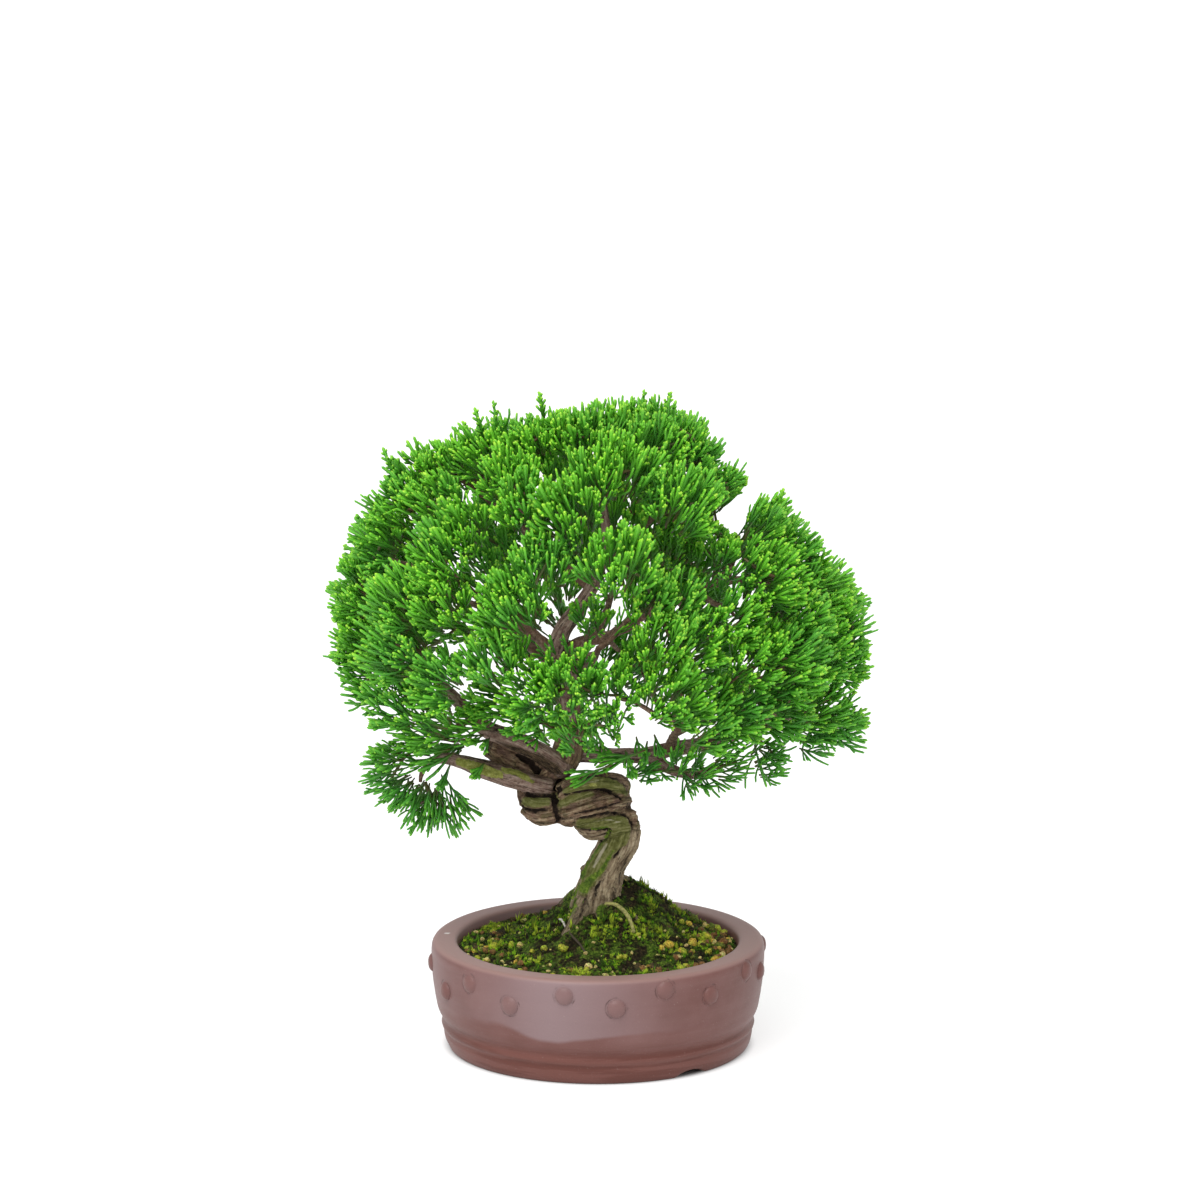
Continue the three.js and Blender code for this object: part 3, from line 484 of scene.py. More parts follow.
clumps = []
for kind in range(MOSS_KINDS):
    bm = bmesh.new()
    tone = bm.verts.layers.float_color.new("tone")
    colour = MOSS_TONES[kind // 3]
    for blade in range(7):
        lean = Matrix.Rotation(rng.uniform(0.2, 0.9) if blade else 0.1, 4, "Y")
        spin = Matrix.Rotation(blade * 1.05 + rng.uniform(-0.3, 0.3), 4, "Z")
        length = rng.uniform(1.1, 2.1) * MM
        lift = Matrix.Translation((0, 0, length * 0.5))
        made = bmesh.ops.create_cone(bm, cap_ends=True, segments=3, radius1=0.32 * MM, radius2=0.0,
                                     depth=length, matrix=spin @ lean @ lift)
        for vert in made["verts"]:
            lightness = 0.35 + 0.9 * max(0, vert.co.z) / (1.6 * MM)
            vert[tone] = (*[c * lightness for c in colour], 1)
    clumps.append(mesh_of(bm, f"clump_{kind:02d}"))

moss_clumps = []
while len(moss_clumps) < MOSS_CLUMPS:
    reach = SOIL_REACH * math.sqrt(rng.random())
    angle = rng.uniform(0, 2 * math.pi)
    x, y = reach * math.cos(angle), reach * math.sin(angle)
    from_mound = math.hypot(x - MOUND_CENTRE[0], y - MOUND_CENTRE[1])
    patch = noise.fractal(Vector((x * 0.075, y * 0.075, 21.0)), 1.0, 2.0, 3)
    bare = math.exp(-((x + 16) ** 2 + (y + 30) ** 2) / 180)
    wanted = 0.68 - from_mound / 160 + 1.6 * patch - 0.6 * bare
    if rng.random() < wanted:
        size = rng.uniform(0.7, 1.3)
        tall = size * (2.6 if rng.random() < 0.035 else 1.0)
        kind = int(min(MOSS_KINDS - 1, max(0, 7.5 + 20 * patch + rng.gauss(0, 4))))
        moss_clumps.append((kind, resting(x, y, soil_height(x, y) - 0.2, (size, size, tall), rng, 0.5), {}))
for x, seen in SPROUTS:
    x, y, z = on_soil(x, seen)
    kind, tall = rng.randrange(14, MOSS_KINDS), rng.uniform(2.2, 3.4)
    moss_clumps.append((kind, resting(x, y, z - 0.2, (1.3, 1.3, tall), rng, 0.3), {}))
new_piece("moss", scatter(clumps, moss_clumps), moss_green, "soil")

# Trunk: living juniper wood that has grown into a corkscrew, its coils pressed together. A smooth grey-green
# live vein runs up it between strips of brown fibrous bark, a rotted hollow opens on its left, and moss and
# lichen sit on the shaded side. The thick limbs and the surface roots are one growth with it.

TRUNK = [
    [(-1, 0, 52, 13), (-0.5, 0, 64, 12), (1, 0, 74, 10), (3.5, 0, 81.5, 8.8), (7, -1, 88.5, 8.3),
     (10.5, -3, 96, 8.3), (12, -4, 104, 7)],
    [(14, -4, 104.5, 6.6), (8.5, -8, 105, 6.4), (2, -11, 104, 6), (-2.5, -10, 103.2, 5.8),
     (-5, -5, 103, 5.6), (-5, 4, 104, 5.6), (-1, 10, 105, 5.6), (6, 12, 107, 6), (9.5, 7, 110, 5.8)],
    [(9, 8, 109.5, 5.4), (9.8, -1, 112.5, 5.4), (7.5, -9, 114.5, 5.8), (3, -12, 114.5, 6),
     (-4.5, -12.5, 112, 6.2), (-11.5, -10, 109.5, 6.2), (-15.5, -3, 108.5, 6), (-13.5, 5, 109.5, 5.8),
     (-6.5, 10, 111.5, 5.4)],
    [(-8, 10, 111, 5.4), (3, 10, 114.5, 5.2), (8.5, 4, 117.5, 5), (9, -4, 120.3, 5), (4.5, -9, 122.5, 5),
     (-3.5, -11, 123, 5), (-10.5, -11, 120.5, 5.2), (-16, -9, 117, 5.2)],
    [(-14.5, -5, 112, 6.5), (-20.5, -7, 110.5, 7.2), (-26, -6, 110, 7.2), (-29.5, -2, 111.5, 6.4)],
    [(-28.5, -1, 112, 6.6), (-29.5, 4, 116, 7), (-27, 6, 120, 7.2), (-21, 4, 125, 7.4), (-16, 1, 130, 7.2),
     (-13, 0, 136, 6.6), (-12, 1, 143, 6)],
    [(-19, 5, 121, 7), (-29.5, 7, 125.5, 7.5), (-40.5, 7, 130.5, 6.5), (-49, 5, 136, 4.5)],
    [(-14, 4, 112, 5), (-18, 4, 115, 5.5), (-20, 4, 119, 5.5)],
    [(-2, 2, 79, 3), (-5, 2, 79.6, 2.4), (-7.4, 1.5, 80.2, 1.7)],
]
VEINS = {0: (-16, 4.6), 1: (2, 3.1), 3: (8, 3.6), 4: (14, 2.9)}
HOLLOW = [(-20, -9, 127.5, 4.2), (-28, -9, 130, 5.8), (-39, -8, 134, 5.8), (-48, -7, 138.5, 4.4)]
LIMBS = [
    [(-12, 1, 139, 6), (-12.5, 2, 149, 5.6), (-13, 4, 158.5, 5.2), (-16.5, 4, 169, 4.8),
     (-18.5, 3, 180, 4.4), (-15.5, 2, 190.5, 4), (-9.5, 3, 198.5, 3.6), (-3.5, 4, 208, 3.2),
     (1, 3, 219.5, 2.8), (3.5, 0, 234, 2.4), (2, -2, 248, 2), (0, 0, 262, 1.6)],
    [(-15, -3, 128, 4.6), (-23, -4, 133.5, 4.8), (-33, -3, 138.8, 4.6), (-42.5, -1, 142.5, 4.2),
     (-50, 2, 145, 3.8), (-58, 4, 152.5, 3.2), (-68, 2, 163, 2.7), (-78, -2, 177.5, 2.3),
     (-86, -4, 194, 1.8)],
    [(-20.5, -3, 118.5, 4.4), (-30.5, -3, 121, 4.3), (-41.5, -3, 124.6, 4.6), (-52, -3, 128, 4.2),
     (-61, -3, 131, 3.2), (-70.5, -4, 133, 2.5), (-78, -2, 128, 1.8)],
    [(-13.5, 0, 135, 4.6), (-3.5, 3, 133, 3.7), (9, 5, 132, 3.4), (21, 3, 132.5, 3.4), (31.5, 0, 136, 3.6),
     (41, -4, 138.5, 3.4), (54.5, -6, 142, 2.8), (70, -4, 146, 2.4), (86, 0, 152, 2), (96, 4, 160, 1.6)],
    [(20, 3, 133, 3), (29.5, -2, 129, 2.6), (38.5, -5, 126, 2.2), (48.5, -8, 126, 1.7)],
    [(-18, 3, 178.5, 3.6), (-27.5, 8, 186, 3.2), (-40.5, 12, 194.5, 2.8), (-54.5, 8, 205, 2.4),
     (-66, 0, 217.5, 2), (-72, -6, 228, 1.5)],
    [(-15.5, 3, 181, 3.6), (-6.5, 6, 184, 3.4), (6.5, 8, 187, 3), (22.5, 8, 197, 2.8), (41, 4, 207, 2.6),
     (58, 0, 213, 2.2), (74, 2, 213, 1.9), (88, 4, 206, 1.6)],
    [(-3.5, 4, 208, 2.8), (-14.5, 8, 218, 2.4), (-28.5, 10, 230, 2.2), (-42, 6, 243, 1.9),
     (-54, 0, 254, 1.6)],
    [(1, 3, 219, 2.6), (10.5, 6, 227.5, 2.3), (22.5, 6, 239, 2), (32, 4, 253, 1.7), (38, 0, 264, 1.4)],
    [(-14, 3, 160, 3.6), (-12, 16, 168, 3), (-4, 30, 178, 2.6), (4, 46, 190, 2.2), (8, 62, 202, 1.6)],
    [(-16.5, 4, 170, 3), (-26, 16, 176, 2.6), (-40, 30, 184, 2.2), (-56, 42, 194, 1.6)],
    [(6.5, 8, 187, 2.8), (20, 20, 194, 2.4), (38, 34, 200, 2), (56, 44, 204, 1.6)],
    [(-13, 4, 158, 3.4), (-12, -10, 166, 2.8), (-8, -26, 176, 2.4), (-2, -42, 186, 2), (0, -54, 194, 1.6)],
    [(31.5, 0, 136, 3), (34, -14, 146, 2.4), (40, -30, 158, 2), (44, -46, 168, 1.6)],
]
THICK_LIMBS, WOOD_STEP, WOOD_VOXEL = 5, 1.3, 0.72
ROOTS = [
    (-52, 27, 5.4, 0.4), (-6, 30, 4.2, -3.0), (48, 44, 3.6, -3.4), (120, 38, 4.6, -1), (215, 36, 4.6, -1),
]
MOSS_PATCHES = [(-12, -8, 65, 7), (2, -13, 64, 5), (14, -4, 72, 5), (0, 12, 70, 9), (-10, 8, 110, 6)]
# Lines drawn on the trunk's front, as (x, z, half width) seen at the camera's slope.
LICHEN_LINES = [
    [(-3.6, 120.6, 1.0), (-1.8, 120.2, 0.9)],
    [(3, 126.4, 0.3), (4, 124.6, 0.5)],
    [(-9.4, 80.8, 0.8), (-8, 80.8, 1.0)],
    [(-62, 130.5, 1.8), (-52, 127.2, 2.6), (-44, 124.6, 2.0)],
    [(-42.5, 126.8, 1.2), (-35, 124.8, 1.6), (-29, 121.2, 1.0)],
]
VEIN_LINES = [
    [(-6.6, 71, 2.6), (-1, 81, 3.8), (4, 90, 3.9), (10, 97, 4.4), (10.3, 102, 3.7), (5.3, 102.9, 2.9),
     (-1.6, 102.4, 2.6), (-7.6, 102.2, 2.4)],
    [(-14, 117.4, 1.6), (-8, 119.8, 2.5), (1.5, 121.1, 2.9), (9, 118.7, 2.3), (12.1, 116, 1.2)],
    [(-16, 111.5, 1.9), (-10.4, 114.2, 2.0), (-3, 115.9, 1.3)],
    [(-32.2, 112.4, 2.1), (-28, 111.8, 2.3), (-23, 112.4, 2.0)],
]
# Pale lines: painted highlights along the live vein, and a pale seam along the left limb.
PALE_SEAM_AND_HIGHLIGHT_LINES = [
    [(-1.6, 82, 0.6), (1.5, 88, 1.0), (4.3, 92.5, 0.6)],
    [(-37.6, 145.4, 0.4), (-30.4, 139.3, 0.5), (-23, 132, 0.4)],
    [(-2, 103.4, 0.3), (5, 104, 0.4), (9.6, 102.8, 0.4)],
    [(-10, 120.4, 0.2), (0, 122, 0.4)],
]
MOSS_LINES = [
    [(5.6, 98.7, 0.8), (2.2, 93.6, 0.9), (-1.2, 88, 0.8), (-5, 82, 1.0), (-7, 77.5, 1.6)],
    [(7, 90, 0.5), (4.4, 85.3, 1.0), (1.8, 80.8, 1.2), (-3.5, 75.7, 1.8), (-6, 72, 2.4)],
    [(-9.1, 73.2, 1.6), (-11, 70.6, 2.0), (-14.1, 66.8, 2.6)],
    [(-3, 100, 0.8), (4, 100.4, 1.0)],
]
CRACK_LINES = [
    [(-17.2, 121, 1.0), (-18.8, 116, 1.3), (-19.1, 109.6, 1.1), (-17.9, 103.8, 0.8)],
    [(-14.7, 115.8, 0.3), (-4.1, 117.4, 0.4), (4.6, 117.6, 0.5), (10.3, 113.8, 0.4)],
    [(-11, 106.6, 0.3), (-4, 108.2, 0.5), (4.6, 110.2, 0.4), (10.3, 112.2, 0.3)],
    [(-7.9, 99.6, 0.2), (1.5, 99.6, 0.3), (5.4, 99.4, 0.4), (4.6, 96.4, 0.3), (1.2, 93.5, 0.1)],
    [(-9.2, 104.4, 0.2), (-1.6, 105.8, 0.25), (7, 107, 0.25), (13.6, 105.2, 0.2), (15.2, 99.6, 0.1),
     (11.3, 93.5, 0.05), (8.6, 88, 0.0)],
    [(-32.4, 108.8, 0.3), (-28, 108.4, 0.35), (-23, 108.6, 0.3)],
    [(-32, 115.2, 0.6), (-26, 114.9, 0.6), (-20, 115.2, 0.7)],
    [(-38, 144.6, 0.2), (-30.8, 138.4, 0.25), (-23.4, 131.2, 0.25)],
    [(-36, 133.5, 0.6), (-31, 130.5, 1.5), (-27.5, 126.3, 1.5)],
]


def root_run(degrees, length, radius, lift):
    across = outward(degrees + 90)
    points = []
    for i, depth in enumerate((3, 0.8, -1, -5)):
        t = i / 3
        spot = outward(degrees) * (4 + (length - 4) * t) + across * 3 * math.sin(t * math.pi)
        points.append((spot.x, spot.y, soil_height(spot.x, spot.y) - radius * 0.4 + depth + lift,
                       radius + (1.3 - radius) * t))
    return points


def shaped(holder):
    """The finished mesh of a helper object, which is then taken away"""
    bpy.context.view_layer.update()
    mesh = bpy.data.meshes.new_from_object(holder.evaluated_get(bpy.context.evaluated_depsgraph_get()))
    bpy.data.objects.remove(holder)
    return mesh


def tubes(name, runs, roundness):
    """Closed round tubes along runs of x, y, z and radius in mm, as one mesh"""
    curve = bpy.data.curves.new(name, "CURVE")
    curve.dimensions = "3D"
    curve.bevel_depth = 1.0
    curve.bevel_resolution = roundness
    curve.use_fill_caps = True
    for run in runs:
        spline = curve.splines.new("POLY")
        spline.points.add(len(run) - 1)
        for point, (x, y, z, radius) in zip(spline.points, run):
            point.co = (*place(x, y, z), 1)
            point.radius = radius * MM
    mesh = shaped(linked(name, curve))
    bpy.data.curves.remove(curve)
    return mesh


def fused(name, mesh, voxel):
    """The same mesh with all its overlapping tubes grown together"""
    holder = linked(name, mesh)
    remesh = holder.modifiers.new("grow together", "REMESH")
    remesh.mode = "VOXEL"
    remesh.voxel_size = voxel
    return shaped(holder)


def carried_frames(run):
    """Tangents, and normals that face the front where the run passes it, turned as little as can be."""
    centres = run[:, :3]
    tangents = np.gradient(centres, axis=0)
    tangents /= np.linalg.norm(tangents, axis=1)[:, None]
    front = int(np.argmin(12 * np.abs(tangents[:, 1]) + 0.5 * centres[:, 1]))
    normals = np.zeros_like(centres)
    start = np.array((0.0, -1.0, 0.0))
    normals[front] = start - tangents[front] * start.dot(tangents[front])
    normals[front] /= np.linalg.norm(normals[front])
    for order in (range(front + 1, len(run)), range(front - 1, -1, -1)):
        held = normals[front]
        for i in order:
            held = held - tangents[i] * held.dot(tangents[i])
            held = held / np.linalg.norm(held)
            normals[i] = held
    return tangents, normals, np.cross(tangents, normals)


def eased(value, low, high):
    t = np.clip((value - low) / (high - low), 0, 1)
    return t * t * (3 - 2 * t)


wood_lines = TRUNK + LIMBS[:THICK_LIMBS] + [root_run(*root) for root in ROOTS]
wood_runs = [smooth_run(line, WOOD_STEP) for line in wood_lines]
trunk_mesh = fused("trunk", tubes("wood_tubes", wood_runs, 4), WOOD_VOXEL * MM)

count = len(trunk_mesh.vertices)
spots = np.empty(count * 3, np.float32)
faced = np.empty(count * 3, np.float32)
trunk_mesh.vertices.foreach_get("co", spots)
trunk_mesh.vertices.foreach_get("normal", faced)
spots = (spots.reshape(-1, 3) - np.array(pot_axis)) / MM
faced = faced.reshape(-1, 3)

frames = [carried_frames(run) for run in wood_runs]
centres = np.concatenate([run[:, :3] for run in wood_runs])
radii = np.concatenate([run[:, 3] for run in wood_runs])
normals = np.concatenate([f[1] for f in frames])
binormals = np.concatenate([f[2] for f in frames])
along = np.concatenate([np.arange(len(run)) * WOOD_STEP for run in wood_runs])
owner = np.concatenate([np.full(len(run), i) for i, run in enumerate(wood_runs)])
nearest = np.empty(count, int)
for start in range(0, count, 4000):
    part = spots[start:start + 4000]
    gap = np.linalg.norm(part[:, None, :] - centres[None, :, :], axis=2) - radii[None, :]
    nearest[start:start + 4000] = gap.argmin(axis=1)
arm = spots - centres[nearest]
turn = np.arctan2((arm * binormals[nearest]).sum(1), (arm * normals[nearest]).sum(1))
radius_here = radii[nearest]
fibre = np.stack([np.cos(turn) * radius_here, np.sin(turn) * radius_here, along[nearest] * 0.13], axis=1)
run_here = owner[nearest]
fibre += run_here[:, None] * np.array((17.3, 5.1, 9.7))

seen_height = spots[:, 2] + VIEW_SLOPE * spots[:, 1]
facing = eased(-faced[:, 1], -0.05, 0.3)


def gap_to(lines):
    """How far each place shows past the edge of the nearest line from the front, in mm and under 0 on it"""
    runs = np.concatenate([smooth_run(line, 0.5) for line in lines])
    gaps = np.full(count, 99.0)
    for x, z, half in runs:
        gaps = np.minimum(gaps, np.hypot(spots[:, 0] - x, seen_height - z) - half)
    return gaps


vein = np.zeros(count)
groove = np.zeros(count)
for stretch, (middle, half) in VEINS.items():
    off = np.abs((turn - math.radians(middle) + math.pi) % (2 * math.pi) - math.pi) * radius_here
    mine = run_here == stretch
    vein[mine] = 1 - eased(off[mine], half - 0.9, half + 0.3)
    groove[mine] = np.exp(-(((off[mine] - half - 0.5) / 0.65) ** 2))
low = (run_here == 0) & (spots[:, 2] < 80)
vein[low] *= eased(spots[low, 2], 68, 80)
groove[low] *= eased(spots[low, 2], 66, 78)
in_coils = (run_here < len(TRUNK)) * facing
edge_wander = 0.5 * np.array([noise.noise(Vector(s * 0.55)) for s in spots])
front_gap = gap_to(VEIN_LINES) + edge_wander
vein = vein * (1 - in_coils) + in_coils * (1 - eased(front_gap, -0.5, 0.5))
groove = groove * (1 - in_coils) + in_coils * np.exp(-(((front_gap - 0.9) / 0.7) ** 2))
crack = facing * (1 - eased(gap_to(CRACK_LINES) + edge_wander, -0.4, 0.7))

broad = np.array([noise.fractal(Vector(f * 0.34), 1.0, 2.0, 3) for f in fibre])
fine = np.array([noise.noise(Vector(f * 1.05)) for f in fibre])
knots = np.array([noise.noise(Vector(s * 0.16)) for s in spots])
rough_bark = 0.75 * broad + 0.42 * fine + 0.5 * np.maximum(0, knots)
limb_share = np.where(run_here < len(TRUNK), 1.0, 0.42)
relief = (1 - vein) * 1.35 * rough_bark * limb_share + vein * (0.5 + 0.15 * broad)
relief = relief - 0.6 * groove - 1.3 * crack
# Low places in the bark, the grooves beside the vein and the cracks between coils are painted dark: painted
# shade.
crevice_shade = np.clip(eased(-broad, 0.12, 0.5) * (1 - vein) * 0.6 + 0.4 * groove + crack, 0, 1)

hollow_run = smooth_run(HOLLOW, 1.0)
gap = np.linalg.norm(spots[:, None, :] - hollow_run[None, :, :3], axis=2)
stop = gap.argmin(axis=1)
depth = hollow_run[stop, 3] - gap[np.arange(count), stop]
rot_and_shade = eased(depth, -1.2, 1.0)
flat = spots[:, [0, 2]] - hollow_run[stop][:, [0, 2]]
back = np.sqrt(np.maximum(0, hollow_run[stop, 3] ** 2 - (flat ** 2).sum(1)))
carved = spots + faced * relief[:, None]
deep = depth > 0
carved[deep, 1] = np.maximum(carved[deep, 1], hollow_run[stop[deep], 1] + back[deep] + 0.8 * broad[deep])


def patches(table):
    shares = np.zeros(count)
    for x, y, z, reach in table:
        away = np.linalg.norm(spots - np.array((x, y, z)), axis=1) / reach
        shares = np.maximum(shares, 1 - eased(away + 0.35 * knots, 0.45, 1.05))
    return shares


mossy = np.maximum(patches(MOSS_PATCHES), facing * (1 - eased(gap_to(MOSS_LINES), -0.9, 0.9)))
pale = facing * (1 - eased(gap_to(PALE_SEAM_AND_HIGHLIGHT_LINES), -0.6, 0.7))
lichened = facing * (1 - eased(gap_to(LICHEN_LINES) + edge_wander, -0.9, 0.9))
on_limb = (run_here >= len(TRUNK)) & (run_here < len(TRUNK) + THICK_LIMBS)
values = {"vein": np.clip(vein, 0, 1), "crevice_shade": crevice_shade, "rot_and_shade": rot_and_shade, "moss": mossy, "pale": pale,
          "lichen": lichened, "limb": on_limb.astype(float)}
trunk_mesh.vertices.foreach_set("co", (carved * MM + np.array(pot_axis)).astype(np.float32).ravel())
for name, value in values.items():
    layer = trunk_mesh.attributes.new(name, "FLOAT", "POINT")
    layer.data.foreach_set("value", value.astype(np.float32))
layer = trunk_mesh.attributes.new("fibre", "FLOAT_VECTOR", "POINT")
layer.data.foreach_set("vector", fibre.astype(np.float32).ravel())
trunk_mesh.update()

wood = new_material("juniper_bark", {"Roughness": 0.78, "Specular IOR Level": 0.18})
grain_line = attribute_of(wood, "fibre", "Vector")
strands = noise_of(wood, grain_line, 0.85, 6.0, 0.62)
hairs = noise_of(wood, grain_line, 3.2, 4.0, 0.65)
mottle = grain_of(wood, 430.0, 5.0, 0.65)
blotches = grain_of(wood, 170.0)
lichen_fine = grain_of(wood, 520.0, 5.0, 0.7)
moss_fine = grain_of(wood, 640.0, 5.0, 0.7)
wood_height = add_node(wood, "SeparateXYZ", {"Vector": object_place(wood)}).outputs["Z"]
fissure_and_shade_dark = (0.02, 0.012, 0.008)


def mottled(share):
    return add_node(wood, "Mix", {0: share, 2: strands, 3: mottle}).outputs[0]


def ragged(name, grain, low, high):
    """How much of what grows or opens on the bark shows, with its edge torn by a noise"""
    shifted = worked(wood, "MULTIPLY_ADD", grain, 1.7, -0.85)
    return between(wood, worked(wood, "ADD", attribute_of(wood, name), shifted), low, high)


bark_grain = mottled(0.42)
bark_brown = colour_ramp(wood, bark_grain, [
    (0.36, (0.034, 0.019, 0.01)), (0.45, (0.145, 0.088, 0.052)), (0.53, (0.3, 0.205, 0.125)),
    (0.64, (0.56, 0.44, 0.29))])
purple = blended(wood, between(wood, blotches, 0.48, 0.6, 0.0, 0.5), bark_brown, (0.19, 0.112, 0.088))
olive = blended(wood, between(wood, blotches, 0.44, 0.34, 0.0, 0.45), purple, (0.15, 0.14, 0.06))
limb_skin = colour_ramp(wood, bark_grain, [
    (0.36, (0.095, 0.053, 0.04)), (0.47, (0.265, 0.172, 0.135)), (0.62, (0.48, 0.36, 0.295))])
neck_skin = colour_ramp(wood, bark_grain, [
    (0.36, (0.085, 0.056, 0.034)), (0.45, (0.27, 0.2, 0.124)), (0.55, (0.46, 0.37, 0.24)),
    (0.66, (0.66, 0.56, 0.39))])
dry_neck = blended(wood, between(wood, wood_height, 0.106, 0.098, 0.0, 0.85), olive, neck_skin)
skinned = blended(wood, attribute_of(wood, "limb"), dry_neck, limb_skin)
vein_skin = colour_ramp(wood, mottled(0.45), [
    (0.34, (0.055, 0.062, 0.012)), (0.48, (0.14, 0.146, 0.038)), (0.62, (0.29, 0.285, 0.115))])
veined = blended(wood, attribute_of(wood, "vein"), skinned, vein_skin)
# Painted highlights on the vein and a pale seam on the left limb.
seam_and_highlight_painted = blended(wood, ragged("pale", strands, 0.35, 1.25), veined, (0.56, 0.51, 0.37))
# Between 76 and 62 mm up, the trunk is painted darker towards its foot.
darker_at_foot = blended(wood, between(wood, wood_height, 0.076, 0.062, 0.0, 0.5), seam_and_highlight_painted, (0.075, 0.06, 0.028))
fissure = worked(wood, "ABSOLUTE", worked(wood, "SUBTRACT", noise_of(wood, grain_line, 0.5), 0.5))
not_vein = worked(wood, "SUBTRACT", 1.0, attribute_of(wood, "vein"))
split = worked(wood, "MULTIPLY", between(wood, fissure, 0.022, 0.004, 0.0, 0.7), not_vein)
# Fissures in the bark take a dark colour, and the creases take the same dark colour as painted shade.
split_bark = blended(wood, split, darker_at_foot, fissure_and_shade_dark)
crevice_shaded = blended(wood, ragged("crevice_shade", mottle, 0.25, 0.85), split_bark, fissure_and_shade_dark)
# Inside the rotted hollow the wood is painted dark brown down to near black: rot, and painted shade in the
# hollow.
rot_and_shade_brown = colour_ramp(wood, hairs, [
    (0.36, (0.008, 0.005, 0.003)), (0.5, (0.05, 0.032, 0.018)), (0.68, (0.24, 0.17, 0.1))])
hollow_rot_and_shade = blended(wood, attribute_of(wood, "rot_and_shade"), crevice_shaded, rot_and_shade_brown)
lichen_colour = colour_ramp(wood, lichen_fine, [
    (0.35, (0.13, 0.14, 0.025)), (0.55, (0.33, 0.34, 0.08)), (0.75, (0.56, 0.56, 0.22))])
lichen_skin = blended(wood, ragged("lichen", lichen_fine, 0.4, 0.8), hollow_rot_and_shade, lichen_colour)
moss_colour = colour_ramp(wood, moss_fine, [
    (0.32, (0.018, 0.034, 0.004)), (0.5, (0.085, 0.15, 0.014)), (0.7, (0.26, 0.36, 0.045))])
mossed = blended(wood, ragged("moss", moss_fine, 0.5, 0.85), lichen_skin, moss_colour)
painted(wood, mossed, (strands, 0.0011), (mottle, 0.0008), (hairs, 0.0004))
dress_piece("trunk_and_roots", trunk_mesh, wood, "bark", "tree")

# Inner limbs and twigs: thinner living wood with reddish scaly bark, one growth with the trunk. Each twig
# leaves a limb and carries one spray.

TWIG_STEP = 2.0
scaly = new_material("scaly_twig_bark", {"Roughness": 0.8})
scales = grain_of(scaly, 620.0, 5.0, 0.65)
patchy = grain_of(scaly, 120.0, 2.0)
scaly_colour = colour_ramp(scaly, scales, [
    (0.3, (0.04, 0.022, 0.014)), (0.5, (0.165, 0.1, 0.064)), (0.66, (0.31, 0.22, 0.15)),
    (0.8, (0.47, 0.38, 0.29))])
redder = blended(scaly, between(scaly, patchy, 0.42, 0.6, 0.0, 0.45), scaly_colour, (0.15, 0.066, 0.038))
painted(scaly, redder, (scales, 0.0008))

limb_runs = [smooth_run(points, TWIG_STEP) for points in LIMBS]
limb_samples = np.concatenate([run[:, :3] for run in limb_runs])
tree_surface = BVHTree.FromPolygons([v.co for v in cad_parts["tree"].data.vertices],
                                    [p.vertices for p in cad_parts["tree"].data.polygons])


def spray_bones(node):
    """A spray's shoots as foot and tip, its stem's end, and the way back from there to the limb, in mm."""
    bm = bmesh.new()
    bm.from_mesh(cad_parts[node].data)
    bmesh.ops.remove_doubles(bm, verts=bm.verts, dist=1e-6)
    shoots = []
    for vert in bm.verts:
        ring = [edge.other_vert(vert).co for edge in vert.link_edges]
        if len(ring) == 3 and len(vert.link_faces) == 3:
            foot = (ring[0] + ring[1] + ring[2]) / 3
            spread = max((corner - foot).length for corner in ring)
            if (vert.co - foot).length > 1.4 * MM and spread < 4.5 * MM:
                shoots.append(((foot - pot_axis) / MM, (vert.co - pot_axis) / MM))
    ends = []
    for face in bm.faces:
        sides = [edge.calc_length() / MM for edge in face.edges]
        middle = face.calc_center_median()
        away = tree_surface.find_nearest(middle)[3] / MM
        stem_like = 1.5 < min(sides) and max(sides) < 2.3
        ends.append((away + (0 if stem_like else 1.0), (middle - pot_axis) / MM, face.normal.copy()))
    bm.free()
    nearest_end = min(ends, key=lambda end: end[0])
    return shoots, nearest_end[1], nearest_end[2]


spray_names = sorted(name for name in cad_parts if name.startswith("spray_"))
bones = {name: spray_bones(name) for name in spray_names}
rng = random.Random(5)
twig_runs = []
for name in spray_names:
    shoots, stem_end, back_way = bones[name]
    ahead = (limb_samples - np.array(stem_end)) @ np.array(back_way)
    aside = np.linalg.norm(limb_samples - np.array(stem_end) - ahead[:, None] * np.array(back_way), axis=1)
    cost = np.where(ahead > 2, aside * 3 + ahead * 0.15, 1e6)
    start = Vector(limb_samples[int(cost.argmin())])
    span = stem_end - start
    side = span.orthogonal().normalized()
    other = span.cross(side).normalized()
    phase, sway = rng.uniform(0, 6.28), min(2.2, span.length * 0.05)
    points = []
    for i in range(7):
        t = i / 6
        wave = math.sin(t * math.pi) * sway
        spot = start + span * t + side * wave * math.cos(phase + 3 * t)
        spot = spot + other * wave * math.sin(phase + 4 * t)
        points.append((*spot, 1.5 - 0.65 * t))
    twig_runs.append(smooth_run(points, TWIG_STEP))

noise.seed_set(5)
inner_runs = []
for run in limb_runs[THICK_LIMBS:]:
    run = run.copy()
    for i, (x, y, z, radius) in enumerate(run):
        run[i, 3] = radius * (0.8 + 0.25 * noise.noise(Vector((x, y, z)) * 0.3))
        run[i, :3] += 0.5 * np.array(noise.noise_vector(Vector((x, y, z)) * 0.12))
    inner_runs.append(run)
bm = bmesh.new()
bm.from_mesh(tubes("inner_wood", inner_runs, 2))
bm.from_mesh(tubes("twigs", twig_runs, 1))
bmesh.ops.remove_doubles(bm, verts=bm.verts, dist=1e-6)
bmesh.ops.recalc_face_normals(bm, faces=bm.faces)
new_piece("inner_limbs_and_twigs", bm, scaly, "bark", "tree")

# Litter: a bare yellowish rootlet that arches out of the mound, a dark fallen twig with a pale broken end,
# and a thinner twig at the right. They lie on the moss in front of the trunk.

